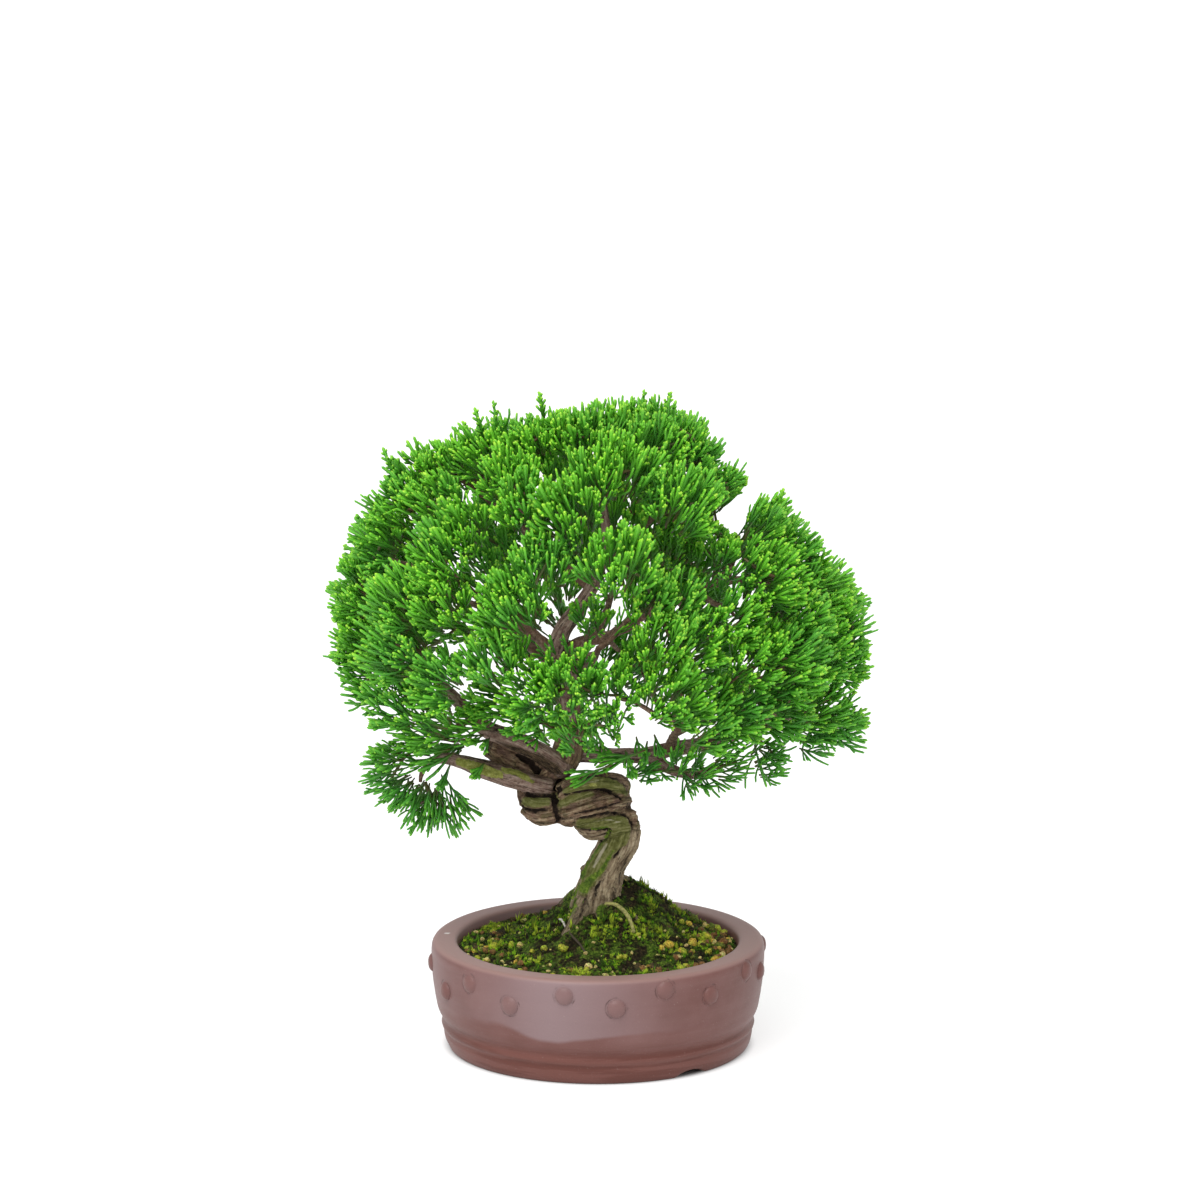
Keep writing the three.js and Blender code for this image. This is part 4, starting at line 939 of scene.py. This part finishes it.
ROOTLET, TWIG_DARK, TWIG_BROKEN = (0.4, 0.38, 0.12), (0.06, 0.04, 0.028), (0.72, 0.68, 0.62)
LITTER = [(ROOTLET, 1.0, 0.9, [(1.8, 64.5), (8, 63.3), (13.2, 58.4), (16.2, 51.6)]),
          (TWIG_DARK, 0.55, 0.3, [(-15.2, 55), (-11.4, 49.8), (-8, 46), (-5.2, 42.6)]),
          (TWIG_BROKEN, 0.6, 0.3, [(-17.4, 57.6), (-16.2, 56.2), (-14.6, 54.2)]),
          (TWIG_DARK, 0.45, 0.2, [(36.2, 66), (39.5, 62.5), (42.5, 58.5)])]

fallen = new_material("fallen_twig", {"Roughness": 0.8})
fallen_grain = grain_of(fallen, 900.0, 4.0)
fallen_colour = blended(fallen, between(fallen, fallen_grain, 0.58, 0.38, 0.0, 0.55),
                        attribute_of(fallen, "tone", "Color"), (0.05, 0.045, 0.015))
painted(fallen, fallen_colour, (fallen_grain, 0.0004))

bm = bmesh.new()
bm.verts.layers.float_color.new("tone")
for colour, radius, lift, line in LITTER:
    stops = [on_soil(x, seen) for x, seen in line]
    arched = [math.sin(i / (len(stops) - 1) * math.pi) for i in range(len(stops))]
    run = smooth_run([(x, y, z + lift + 0.8 * arch, radius * (0.7 + 0.3 * arch))
                      for (x, y, z), arch in zip(stops, arched)], 0.8)
    twig_mesh = tubes("litter", [run], 2)
    toned = twig_mesh.attributes.new("tone", "FLOAT_COLOR", "POINT")
    toned.data.foreach_set("color", [*colour, 1.0] * len(twig_mesh.vertices))
    bm.from_mesh(twig_mesh)
bmesh.ops.remove_doubles(bm, verts=bm.verts, dist=1e-6)
bmesh.ops.recalc_face_normals(bm, faces=bm.faces)
new_piece("litter", bm, fallen, "soil")

# Foliage: juniper scale shoots, thin cords 1.6 mm thick that fork again and again into flat fans. A spray
# is a few tufts of such fans round their own branchlets, dark inside and bright yellow-green at the
# growing tips.

SPRIG_LENGTHS = [8, 10, 12, 14, 16, 18, 20, 22, 25]
SPRIG_KINDS, SHORTEST_SPRIG, SPRIGS_PER_AREA = 3, 6.5, 0.08
CORD_RADIUS, THIN_CORD_RADIUS = 0.83, 0.62

leaf = new_material("juniper_scale_leaf", {"Roughness": 0.5, "Specular IOR Level": 0.4})
growth = attribute_of(leaf, "growth")
sun_and_vigour = attribute_of(leaf, "sun_and_vigour")
hue = grain_of(leaf, 34.0)
leaf_scales = grain_of(leaf, 1500.0, 2.0)
# Along each cord the green darkens from the bright young tip inwards; the darkest inner part is partly
# painted shade.
shaded_old_green = colour_ramp(leaf, growth, [
    (0.0, (0.15, 0.085, 0.04)), (0.12, (0.065, 0.105, 0.012)), (0.35, (0.038, 0.185, 0.011)),
    (0.8, (0.09, 0.41, 0.018)), (1.0, (0.26, 0.72, 0.038))])
sunlit_new_green = colour_ramp(leaf, growth, [
    (0.0, (0.15, 0.085, 0.04)), (0.12, (0.065, 0.115, 0.012)), (0.35, (0.062, 0.27, 0.012)),
    (0.8, (0.165, 0.58, 0.02)), (0.92, (0.42, 0.85, 0.04)), (1.0, (0.74, 0.98, 0.12))])
# Sprigs that point up and sit high on the crown take more of the brighter green: fresh growth, and partly
# painted light from above.
leaf_green = blended(leaf, sun_and_vigour, shaded_old_green, sunlit_new_green)
bluish = blended(leaf, between(leaf, hue, 0.55, 0.38, 0.0, 0.28), leaf_green, (0.032, 0.26, 0.05))
scaled = blended(leaf, between(leaf, leaf_scales, 0.58, 0.38, 0.0, 0.28), bluish, (0.026, 0.12, 0.01))
painted(leaf, scaled, (leaf_scales, 0.0002))


def empty_shoots():
    bm = bmesh.new()
    for name in ("growth", "sun_and_vigour"):
        bm.verts.layers.float.new(name)
    return bm


def grow_cord(bm, stops, sides):
    """A closed cord through stops of place, radius and growth in mm, with a blunt tip at the last stop"""
    grown = bm.verts.layers.float["growth"]
    heading = (stops[1][0] - stops[0][0]).normalized()
    turn = Vector((0, 0, 1)).rotation_difference(heading).to_matrix().to_4x4()
    made = bmesh.ops.create_circle(bm, cap_ends=True, segments=sides, radius=stops[0][1] * MM,
                                   matrix=Matrix.Translation(stops[0][0] * MM) @ turn)
    ring = made["verts"]
    edges = list({edge for vert in ring for edge in vert.link_edges})
    for vert in ring:
        vert[grown] = stops[0][2]
    for i, (spot, radius, share) in enumerate(stops[1:], 1):
        geometry = bmesh.ops.extrude_edge_only(bm, edges=edges)["geom"]
        ring = [item for item in geometry if isinstance(item, bmesh.types.BMVert)]
        edges = [item for item in geometry if isinstance(item, bmesh.types.BMEdge)
                 and item.verts[0] in ring and item.verts[1] in ring]
        if i == len(stops) - 1:
            bmesh.ops.pointmerge(bm, verts=ring, merge_co=spot * MM)
            tip = min(bm.verts, key=lambda vert: (vert.co - spot * MM).length_squared)
            tip[grown] = share
            break
        centre = sum((vert.co for vert in ring), Vector()) / len(ring)
        resize = radius / stops[i - 1][1]
        next_heading = (stops[i + 1][0] - spot).normalized()
        bend = heading.rotation_difference(next_heading).to_matrix()
        bmesh.ops.scale(bm, vec=(resize, resize, resize), space=Matrix.Translation(-centre), verts=ring)
        bmesh.ops.rotate(bm, cent=centre, matrix=bend, verts=ring)
        bmesh.ops.translate(bm, vec=spot * MM - centre, verts=ring)
        heading = next_heading
        for vert in ring:
            vert[grown] = share


def away_from(axis, tilt, around):
    side = axis.orthogonal().normalized()
    other = axis.cross(side)
    aside = side * math.cos(around) + other * math.sin(around)
    return (axis * math.cos(tilt) + aside * math.sin(tilt)).normalized()


def sprig_template(length, rng, thin=False):
    """One sprig: a main cord and others that leave it in turn, bend up beside it and fork near their tips"""
    bm = empty_shoots()
    full = THIN_CORD_RADIUS if thin else CORD_RADIUS
    bend = rng.uniform(0.04, 0.16) * length
    reach = min(length * 0.86, 17.0)

    def main_at(t):
        return Vector((bend * t * t, 0, length * t))

    bare = 1 - reach / length
    ripe = rng.uniform(0.9, 1.0)
    grow_cord(bm, [(main_at(0), 0.42, 0.0), (main_at(bare), full * 0.75, 0.15),
                   (main_at((1 + bare) / 2), full, 0.5),
                   (main_at(1 - 0.8 / length), full * 0.9, ripe - 0.1), (main_at(1), 0, ripe)], 4)
    cords = 5 - (length < 11) - (2 if thin and length < 13 else thin)
    for k in range(cords):
        t = bare + (1 - bare) * 0.66 * k / cords + rng.uniform(0, 0.05)
        start = main_at(t)
        ahead = (main_at(t + 0.02) - main_at(t)).normalized()
        around = math.pi * k + math.pi / 2 + rng.uniform(-0.9, 0.9)
        aside = away_from(ahead, math.pi / 2, around)
        own = (1 - t) * length * rng.uniform(0.66, 1.05)
        spread = own * (rng.uniform(0.32, 0.58) if thin else rng.uniform(0.24, 0.46))
        radius = full * rng.uniform(0.88, 1.04)
        youth = max(0.0, 1 - own / 16)
        ripe = rng.uniform(0.83, 1.0)

        def cord_at(s):
            return start + ahead * own * s + aside * spread * (1 - (1 - s) ** 2)

        grow_cord(bm, [(start, radius * 0.65, 0.15 + 0.6 * youth),
                       (cord_at(0.3), radius * 0.85, 0.25 + 0.55 * youth),
                       (cord_at(0.65), radius, 0.55 + 0.3 * youth),
                       (cord_at(1 - 0.8 / own), radius * 0.9, ripe - 0.08), (cord_at(1), 0, ripe)], 3)
        if own < 4.5 or thin and rng.random() < 0.5:
            continue
        for s, turn in ((rng.uniform(0.38, 0.55), 1.5), (rng.uniform(0.6, 0.78), -1.5)):
            if own * (1 - s) < 2.0 or rng.random() < 0.3:
                continue
            root = cord_at(s)
            along = (cord_at(s + 0.05) - root).normalized()
            tilt = math.radians(rng.uniform(26, 44))
            small = away_from(along, tilt, around + turn + rng.uniform(-0.6, 0.6))
            short = min(own * (1 - s) * 0.9, rng.uniform(2.2, 4.2))
            grow_cord(bm, [(root, radius * 0.7, 0.5),
                           (root + small * (short - 0.65), radius * 0.9, ripe - 0.08),
                           (root + small * short, 0, ripe)], 3)
    bmesh.ops.recalc_face_normals(bm, faces=bm.faces)
    return mesh_of(bm, f"sprig_{length:02d}")


def leader_template(length, rng):
    """A leading shoot: one straight cord closely set with short side cords, all in fresh growth"""
    bm = empty_shoots()
    up = Vector((0, 0, 1))
    grow_cord(bm, [(up * 0, 0.7, 0.2), (up * length * 0.6, 0.8, 0.65), (up * (length - 0.8), 0.7, 0.85),
                   (up * length, 0, 1.0)], 4)
    for k in range(12):
        root = up * length * (0.16 + 0.065 * k)
        direction = away_from(up, math.radians(rng.uniform(28, 46)), 2.4 * k)
        own = rng.uniform(2.6, 4.6) * (1.3 - 0.075 * k)
        grow_cord(bm, [(root, 0.6, 0.5), (root + direction * (own - 0.6), 0.7, 0.9),
                       (root + direction * own, 0, 1.0)], 3)
    bmesh.ops.recalc_face_normals(bm, faces=bm.faces)
    return mesh_of(bm, "leader")


def grown_along(base, direction, size, roll):
    upward = Vector((0, 0, 1)) - direction * direction.z
    if upward.length < 0.15:
        upward = direction.orthogonal()
    upward.normalize()
    sideways = direction.cross(upward)
    across = upward * math.cos(roll) + sideways * math.sin(roll)
    basis = Matrix((across, direction.cross(across), direction)).transposed().to_4x4()
    return Matrix.Translation(place(*base)) @ basis @ Matrix.Scale(size, 4)


rng = random.Random(23)
sprigs = [sprig_template(length, rng) for length in SPRIG_LENGTHS for _ in range(SPRIG_KINDS)]
first_thin = len(sprigs)
sprigs += [sprig_template(length, rng, thin=True) for length in SPRIG_LENGTHS for _ in range(SPRIG_KINDS)]
first_leader = len(sprigs)
sprigs += [leader_template(length, rng) for length in (13, 16)]
crown_root = Vector((0, 0, 165))
CROWN_REACH, DROOP_ROOT = 105, Vector((-72, -2, 132))
CROWN_MIDDLE, HALF_WIDTH, HALF_HEIGHT = 170, 118, 125
LOW_LEVEL, HANGING_LEVEL = 165, 141
CORE_RADIUS, SAME_TUFT, LEADER_SUNK = 3.1, 5.5, 7
# The crown's clipped outline and the open cleft between its top and its right lobe, as (x, z) seen at the
# camera's slope, and the way of the one branchlet that goes round the cleft. Then small tufts that fill open
# places and a hollow in the top, with their radii, leading shoots that stand out at the top, and the feet and
# tips of shoots that hang below and of shoots beside the cleft.
CROWN_OUTLINE = [
    (-50, 95), (-60, 90), (-72, 92), (-84, 96), (-95, 103), (-105, 113), (-108, 131), (-105, 141),
    (-100, 147), (-110, 155), (-117, 164), (-121, 180), (-122, 200), (-118, 219), (-110, 241), (-100, 255),
    (-92, 268), (-70, 275), (-57, 283), (-45, 289), (-24, 293), (1, 293), (19, 296), (32, 294), (44, 288),
    (50, 278), (56, 268), (68, 260), (62, 251), (57, 243), (61, 239), (67, 243), (71, 249), (79, 253),
    (88, 245), (97, 236), (113, 215), (123, 199), (125, 177), (123, 155), (116, 135), (104, 131), (90, 127),
    (75, 115), (40, 108), (0, 100),
]
CLEFT = [
    (70, 261), (57, 251), (51, 246), (52, 240.5), (61, 236), (64, 232), (67.5, 235.5), (67.5, 243),
    (72, 249.5), (79.5, 256), (78, 268),
]
ROUND_CLEFT = [(64, 42, 222), (52, 44, 226), (50, 45, 238)]
FILLING_TUFTS = [
    (-21, 15, 262, 12.5), (14, 12, 241, 13.5), (38, 18, 228, 14), (-17, 28, 205, 11), (-61, 4, 194, 12),
    (-53, 12, 214, 12.5), (-50, -12, 161, 12), (-30, -30, 159, 14), (-66, 2, 139, 9), (3, -34, 154, 11),
    (22, -8, 128, 8), (98, -6, 144, 13), (24, 26, 196, 11), (-34, 24, 232, 11), (36, 24, 220, 13),
    (-56, -14, 150, 12), (-22, -22, 151, 10), (-38, -18, 156, 10), (-77, -5, 114, 9), (24, 10, 239, 11),
    (-64, 8, 257, 11), (50, 16, 221, 12), (24, 30, 224, 12), (-12, 30, 226, 12), (-46, 20, 225, 11),
    (-10, 24, 259, 11), (-8, 36, 243, 12),
]
HOLLOW_TUFTS = [(-24, -6, 266, 13)]
LEADING_SHOOTS = [
    (-25, -6, 294), (-45, -10, 288), (-52, -4, 284), (-58, 0, 280), (-92, -8, 267), (31, 6, 292),
    (20, 0, 291), (80, -6, 248), (-82, -60, 194), (35, -62, 190),
]
HANGING_SHOOTS = [
    (6, -26, 135, -14, -27, 127), (21, -22, 141, 1, -26, 133), (18, -20, 139, -4, -20, 134),
    (38, -8, 129, 41, -14, 115), (45, -10, 129, 58, -14, 119), (43, -9, 130, 48, -16, 117),
    (70, -8, 140, 74, -12, 121), (72, -8, 138, 86, -14, 132), (72, -6, 137, 83, -10, 127),
    (13, -10, 134, 17, -14, 125), (24, -4, 130, 22, -8, 121), (103, -8, 153, 114, -14, 141),
    (106, -6, 156, 120, -10, 148), (98, -8, 151, 105, -12, 137), (96, -8, 150, 92, -14, 140),
    (-66, -12, 139, -82, -18, 136), (-64, -10, 137, -79, -14, 127), (-70, -6, 126, -66, -8, 105),
    (-68, -6, 124, -59, -10, 110), (-4, -14, 153, -2, -18, 139), (3.5, -14, 150, 10, -18, 145),
    (0.5, -14, 144, 4, -17, 135), (12, -14, 139, 15, -17, 132), (17, -13, 145, 19, -16, 136),
    (22, -13, 143, 20, -16, 132), (25, -13, 146, 28.5, -16, 136), (-16, -20, 150, -13, -24, 138),
    (-70, -6, 113, -65.5, -8, 96), (-76, -6, 113, -80, -8, 99.5), (-66, -6, 113, -58, -9, 100.5),
    (-64, -6, 117, -53.5, -9, 105.5), (-84, -6, 118, -94, -9, 110), (-88, -6, 122, -102, -9, 115),
    (-90, -6, 126, -105, -8, 124), (-88, -6, 132, -103.5, -8, 137.5), (-50.5, -9, 132, -57, -13, 125),
    (-66, -8, 131, -71, -11, 119),
]
CLEFT_SHOOTS = [
    (54, -9, 254, 67.8, -9, 262), (54, -10, 255, 65.8, -10, 264.5), (55, -8, 254, 62.7, -8, 266),
    (53, -9, 255, 59.5, -9, 267), (55, -10, 253, 65.5, -11, 259), (52, -8, 254, 60, -7, 262),
    (54, -7, 253, 66.5, -6, 260.5),
]
late_chance = random.Random(7)
golden_turn = math.pi * (3 - math.sqrt(5))


def tufts_of(shoots):
    """Centre and radius of each tuft. The shoots of one tuft point away from one centre."""
    tufts = []
    for foot, tip in shoots:
        centre = foot - (tip - foot).normalized() * CORE_RADIUS
        for tuft in tufts:
            if (tuft["centre"] - centre).length < SAME_TUFT:
                tuft["tips"].append(tip)
                total = len(tuft["tips"])
                tuft["centre"] = (tuft["centre"] * (total - 1) + centre) / total
                break
        else:
            tufts.append({"centre": centre, "tips": [tip]})
    reaches = [np.percentile([(tip - tuft["centre"]).length for tip in tuft["tips"]], 80) for tuft in tufts]
    return [(tuft["centre"], min(19.0, max(9.5, float(reach) * 1.02))) for tuft, reach in zip(tufts, reaches)]


def inside(outline, spot):
    """Whether a place shows inside an outline that is seen from the front at the camera's slope"""
    x, z = spot.x * (1 - 0.00035 * spot.y), spot.z + VIEW_SLOPE * spot.y
    within = False
    for (x1, z1), (x2, z2) in zip(outline, outline[1:] + outline[:1]):
        if (z1 > z) != (z2 > z) and x < x1 + (x2 - x1) * (z - z1) / (z2 - z1):
            within = not within
    return within


def growing_way(spot, rng):
    """Shoots grow up in the middle of the crown, outwards at its sides, and hang a little at the low left"""
    sway = Vector((rng.gauss(0, 1), rng.gauss(0, 1), rng.gauss(0, 1))) * 0.13
    if spot.x < DROOP_ROOT.x + 8 and spot.z < DROOP_ROOT.z - 5:
        return ((spot - DROOP_ROOT).normalized() + sway).normalized()
    aside = Vector((spot.x, spot.y * 0.5, 0))
    lean = min(1.0, aside.length / CROWN_REACH)
    rise = min(1.0, max(-0.4, (spot.z - 150) / 70))
    up = (0.3 + 0.65 * rise) * (1 - 0.3 * lean)
    return (aside.normalized() * (0.15 + 0.75 * lean) + Vector((0, 0, up)) + sway).normalized()


def cut_back(span, sticks_out):
    """The span shortened until it doesn't stick out, or nothing where too little of it would be left"""
    while span.length > SHORTEST_SPRIG and sticks_out(span):
        span = span * 0.93
    return span if span.length > SHORTEST_SPRIG else None


def add_sprig(places, base, tip, centre, thin, rng):
    straggling = min(1.075, max(0.94, rng.gauss(1.0, 0.035)))

    def past_crown(span):
        return not inside(CROWN_OUTLINE, crown_root + (base + span - crown_root) / straggling)

    def over_cleft(span):
        return any(inside(CLEFT, base + span * share) for share in shares)

    span = cut_back(tip - base, past_crown)
    if span is None:
        return
    light, roll, variety = rng.uniform(-0.3, 0.3), rng.uniform(-0.9, 0.9), rng.randrange(SPRIG_KINDS)
    shares = (0.0, 0.6, 0.8, 1.0) if base == centre else (0.6, 0.8, 1.0)
    span = cut_back(span, over_cleft)
    if span is None:
        return
    length = span.length
    kind = min(range(len(SPRIG_LENGTHS)), key=lambda k: abs(SPRIG_LENGTHS[k] - length))
    direction = span.normalized()
    outside = (centre - crown_root).normalized()
    # Brighter where a sprig points up and sits high on the crown: partly painted light from above.
    sunny = 0.34 + 0.34 * direction.z + 0.24 * (tip - crown_root).normalized().dot(direction)
    sunny += 0.2 * outside.z + light - (0.15 if thin else 0)
    matrix = grown_along(base, direction, length / SPRIG_LENGTHS[kind], roll)
    number = kind * SPRIG_KINDS + variety + (first_thin if thin else 0)
    places.append((number, matrix, {"sun_and_vigour": min(1.0, max(0.0, sunny))}))


def grow_tuft(places, centre, radius, rng):
    """Sprigs that leave one place on all sides of the way it grows, more of them thin towards the edge"""
    heading = growing_way(centre, rng)
    hanging = centre.z < HANGING_LEVEL
    total = int(max(9, SPRIGS_PER_AREA * radius * radius * (0.8 if hanging else 1.0)))
    edge = math.hypot(centre.x / HALF_WIDTH, (centre.z - CROWN_MIDDLE) / HALF_HEIGHT)
    openness = 0.12 + 0.33 * min(1, max(0, (edge - 0.6) / 0.3))
    if centre.z < LOW_LEVEL:
        openness = 0.9 if hanging else 0.6
    for i in range(total):
        share = (i + 0.5) / total
        tilt = math.acos(1 - share * (1 - math.cos(math.radians(104)))) + rng.uniform(-0.14, 0.14)
        outer = away_from(heading, abs(tilt), golden_turn * i + rng.uniform(-0.35, 0.35))
        aside = outer - heading * outer.dot(heading)
        tip = centre + outer * radius * rng.uniform(0.82, 1.12)
        base = centre - heading * 0.62 * radius + aside * 0.5 * radius
        add_sprig(places, base, tip, centre, rng.random() < openness, rng)


def grow_branchlet(bm, carrier, way, spot):
    """A bare cord from the wood that carries it, past the places on its way, into the middle of a tuft"""
    end = spot + (spot - [carrier, *way][-1]).normalized() * 0.6
    grow_cord(bm, [(carrier, 0.85, 0), *[(stop, 0.75, 0) for stop in way], (spot, 0.7, 0), (end, 0, 0)], 4)


def rows_near(name, table):
    """The rows of a table whose first place is nearer to this spray's stem than to any other"""
    return [row for row in table
            if name == min(spray_names, key=lambda other: (bones[other][1] - Vector(row[:3])).length)]


for name in spray_names:
    shoots, stem_end, _ = bones[name]
    tufts = tufts_of(shoots) + [(Vector(row[:3]), row[3]) for row in rows_near(name, FILLING_TUFTS)]
    hollow_tufts = [(Vector(row[:3]), row[3]) for row in rows_near(name, HOLLOW_TUFTS)]
    wood_bm = empty_shoots()
    joined_up, branchlets = [stem_end], []
    waiting = [centre for centre, _ in tufts]
    while waiting:
        span, spot, carrier = min(((a - b).length, tuple(a), tuple(b)) for a in waiting for b in joined_up)
        spot, carrier = Vector(spot), Vector(carrier)
        sway = Vector((rng.uniform(-1, 1), rng.uniform(-1, 1), rng.uniform(-1, 1)))
        way = [(spot + carrier) / 2 + sway * 0.08 * span]
        if span > 20 and inside(CLEFT, (spot + carrier) / 2):
            way = [Vector(stop) for stop in ROUND_CLEFT]
        grow_branchlet(wood_bm, carrier, way, spot)
        waiting = [centre for centre in waiting if (centre - spot).length > 1e-6]
        joined_up.append(spot)
        branchlets.append((spot, carrier))
    for spot, _ in hollow_tufts:
        grow_branchlet(wood_bm, min(joined_up, key=lambda other: (other - spot).length), [], spot)
    bmesh.ops.recalc_face_normals(wood_bm, faces=wood_bm.faces)
    places = []
    for table, chance in ((tufts, rng), (hollow_tufts, late_chance)):
        for centre, radius in table:
            grow_tuft(places, centre, radius, chance)
    twig = [Vector(stop[:3]) for stop in twig_runs[spray_names.index(name)]]
    branchlets += [(twig[i + 3], twig[i]) for i in range(2, len(twig) - 3, 3)]
    for spot, carrier in branchlets:
        span = spot - carrier
        for _ in range(int(span.length / 4.5)):
            base = carrier + span * rng.uniform(0.15, 0.9)
            way = growing_way(base, rng)
            way += away_from(span.normalized(), 1.2, rng.uniform(0, 6.28)) * 0.8
            add_sprig(places, base, base + way.normalized() * rng.uniform(9, 15), base, True, rng)
    for table, chance in ((HANGING_SHOOTS, rng), (CLEFT_SHOOTS, late_chance)):
        for row in rows_near(name, table):
            foot = Vector(row[:3])
            add_sprig(places, foot, Vector(row[3:]), foot, foot.z < 131 or foot.x > 60, chance)
    for spot in [Vector(row) for row in rows_near(name, LEADING_SHOOTS)]:
        leading = Vector((spot.x * 0.004 + rng.uniform(-0.15, 0.15), spot.y * 0.004, 1.0)).normalized()
        standing = grown_along(spot - leading * LEADER_SUNK, leading, 1.0, 0.0)
        places.append((first_leader + rng.randrange(2), standing, {"sun_and_vigour": 1.0}))
    bm = scatter(sprigs, places)
    bm.from_mesh(mesh_of(wood_bm, "branchlets"))
    new_piece(name + "_scale_shoots", bm, leaf, "foliage", name)

# Studio: a plain white floor lit from within except under the pot, so that shadows nearly vanish on it, a
# bright even room, and a broad lamp high at the left.

floor_paint = new_material("studio_floor", {"Roughness": 0.8, "Base Color": (0.45, 0.45, 0.45, 1),
                                            "Specular IOR Level": 0.0, "Emission Color": (1, 1, 1, 1)})
floor_place = object_place(floor_paint)
floor_reach = add_node(floor_paint, "VectorMath", {0: floor_place, 1: pot_axis}, operation="DISTANCE")
floor_glow = between(floor_paint, floor_reach.outputs["Value"], 0.064, 0.072, 0.0, 0.66)
floor_shader = floor_paint.node_tree.nodes["Principled BSDF"]
floor_paint.node_tree.links.new(floor_glow, floor_shader.inputs["Emission Strength"])
bm = bmesh.new()
bmesh.ops.create_grid(bm, x_segments=1, y_segments=1, size=15)
floor = linked("studio_floor", mesh_of(bm, "studio_floor"))
floor.data.materials.append(floor_paint)

world = bpy.data.worlds.new("bright_room")
bpy.context.scene.world = world
world.use_nodes = True
room_light = world.node_tree.nodes["Background"].inputs
room_light["Color"].default_value = (1, 1, 1, 1)
room_light["Strength"].default_value = 0.76

lamp = linked("high_lamp", bpy.data.lights.new("high_lamp", "SUN"))
lamp.data.energy = 2.3
lamp.data.angle = math.radians(45)
lamp.rotation_euler = (math.radians(32), 0, math.radians(-25))

# Camera: 2.8 m away and 12 degrees above level, aimed over the middle of the pot as in the photograph. From
# so far away, its long lens shows the near and the far shoots at almost one size.

camera = linked("camera", bpy.data.cameras.new("camera"))
camera.data.lens = 188.6
camera.data.sensor_width = 36
camera.data.clip_end = 100
aim = pot_axis + Vector((0.0009, 0, 0.2044))
camera.location = aim + 2.8 * Vector((0, -math.cos(VIEW_RISE), math.sin(VIEW_RISE)))
camera.rotation_euler = (math.radians(78), 0, 0)
bpy.context.scene.camera = camera
bpy.context.scene.view_settings.view_transform = "Standard"
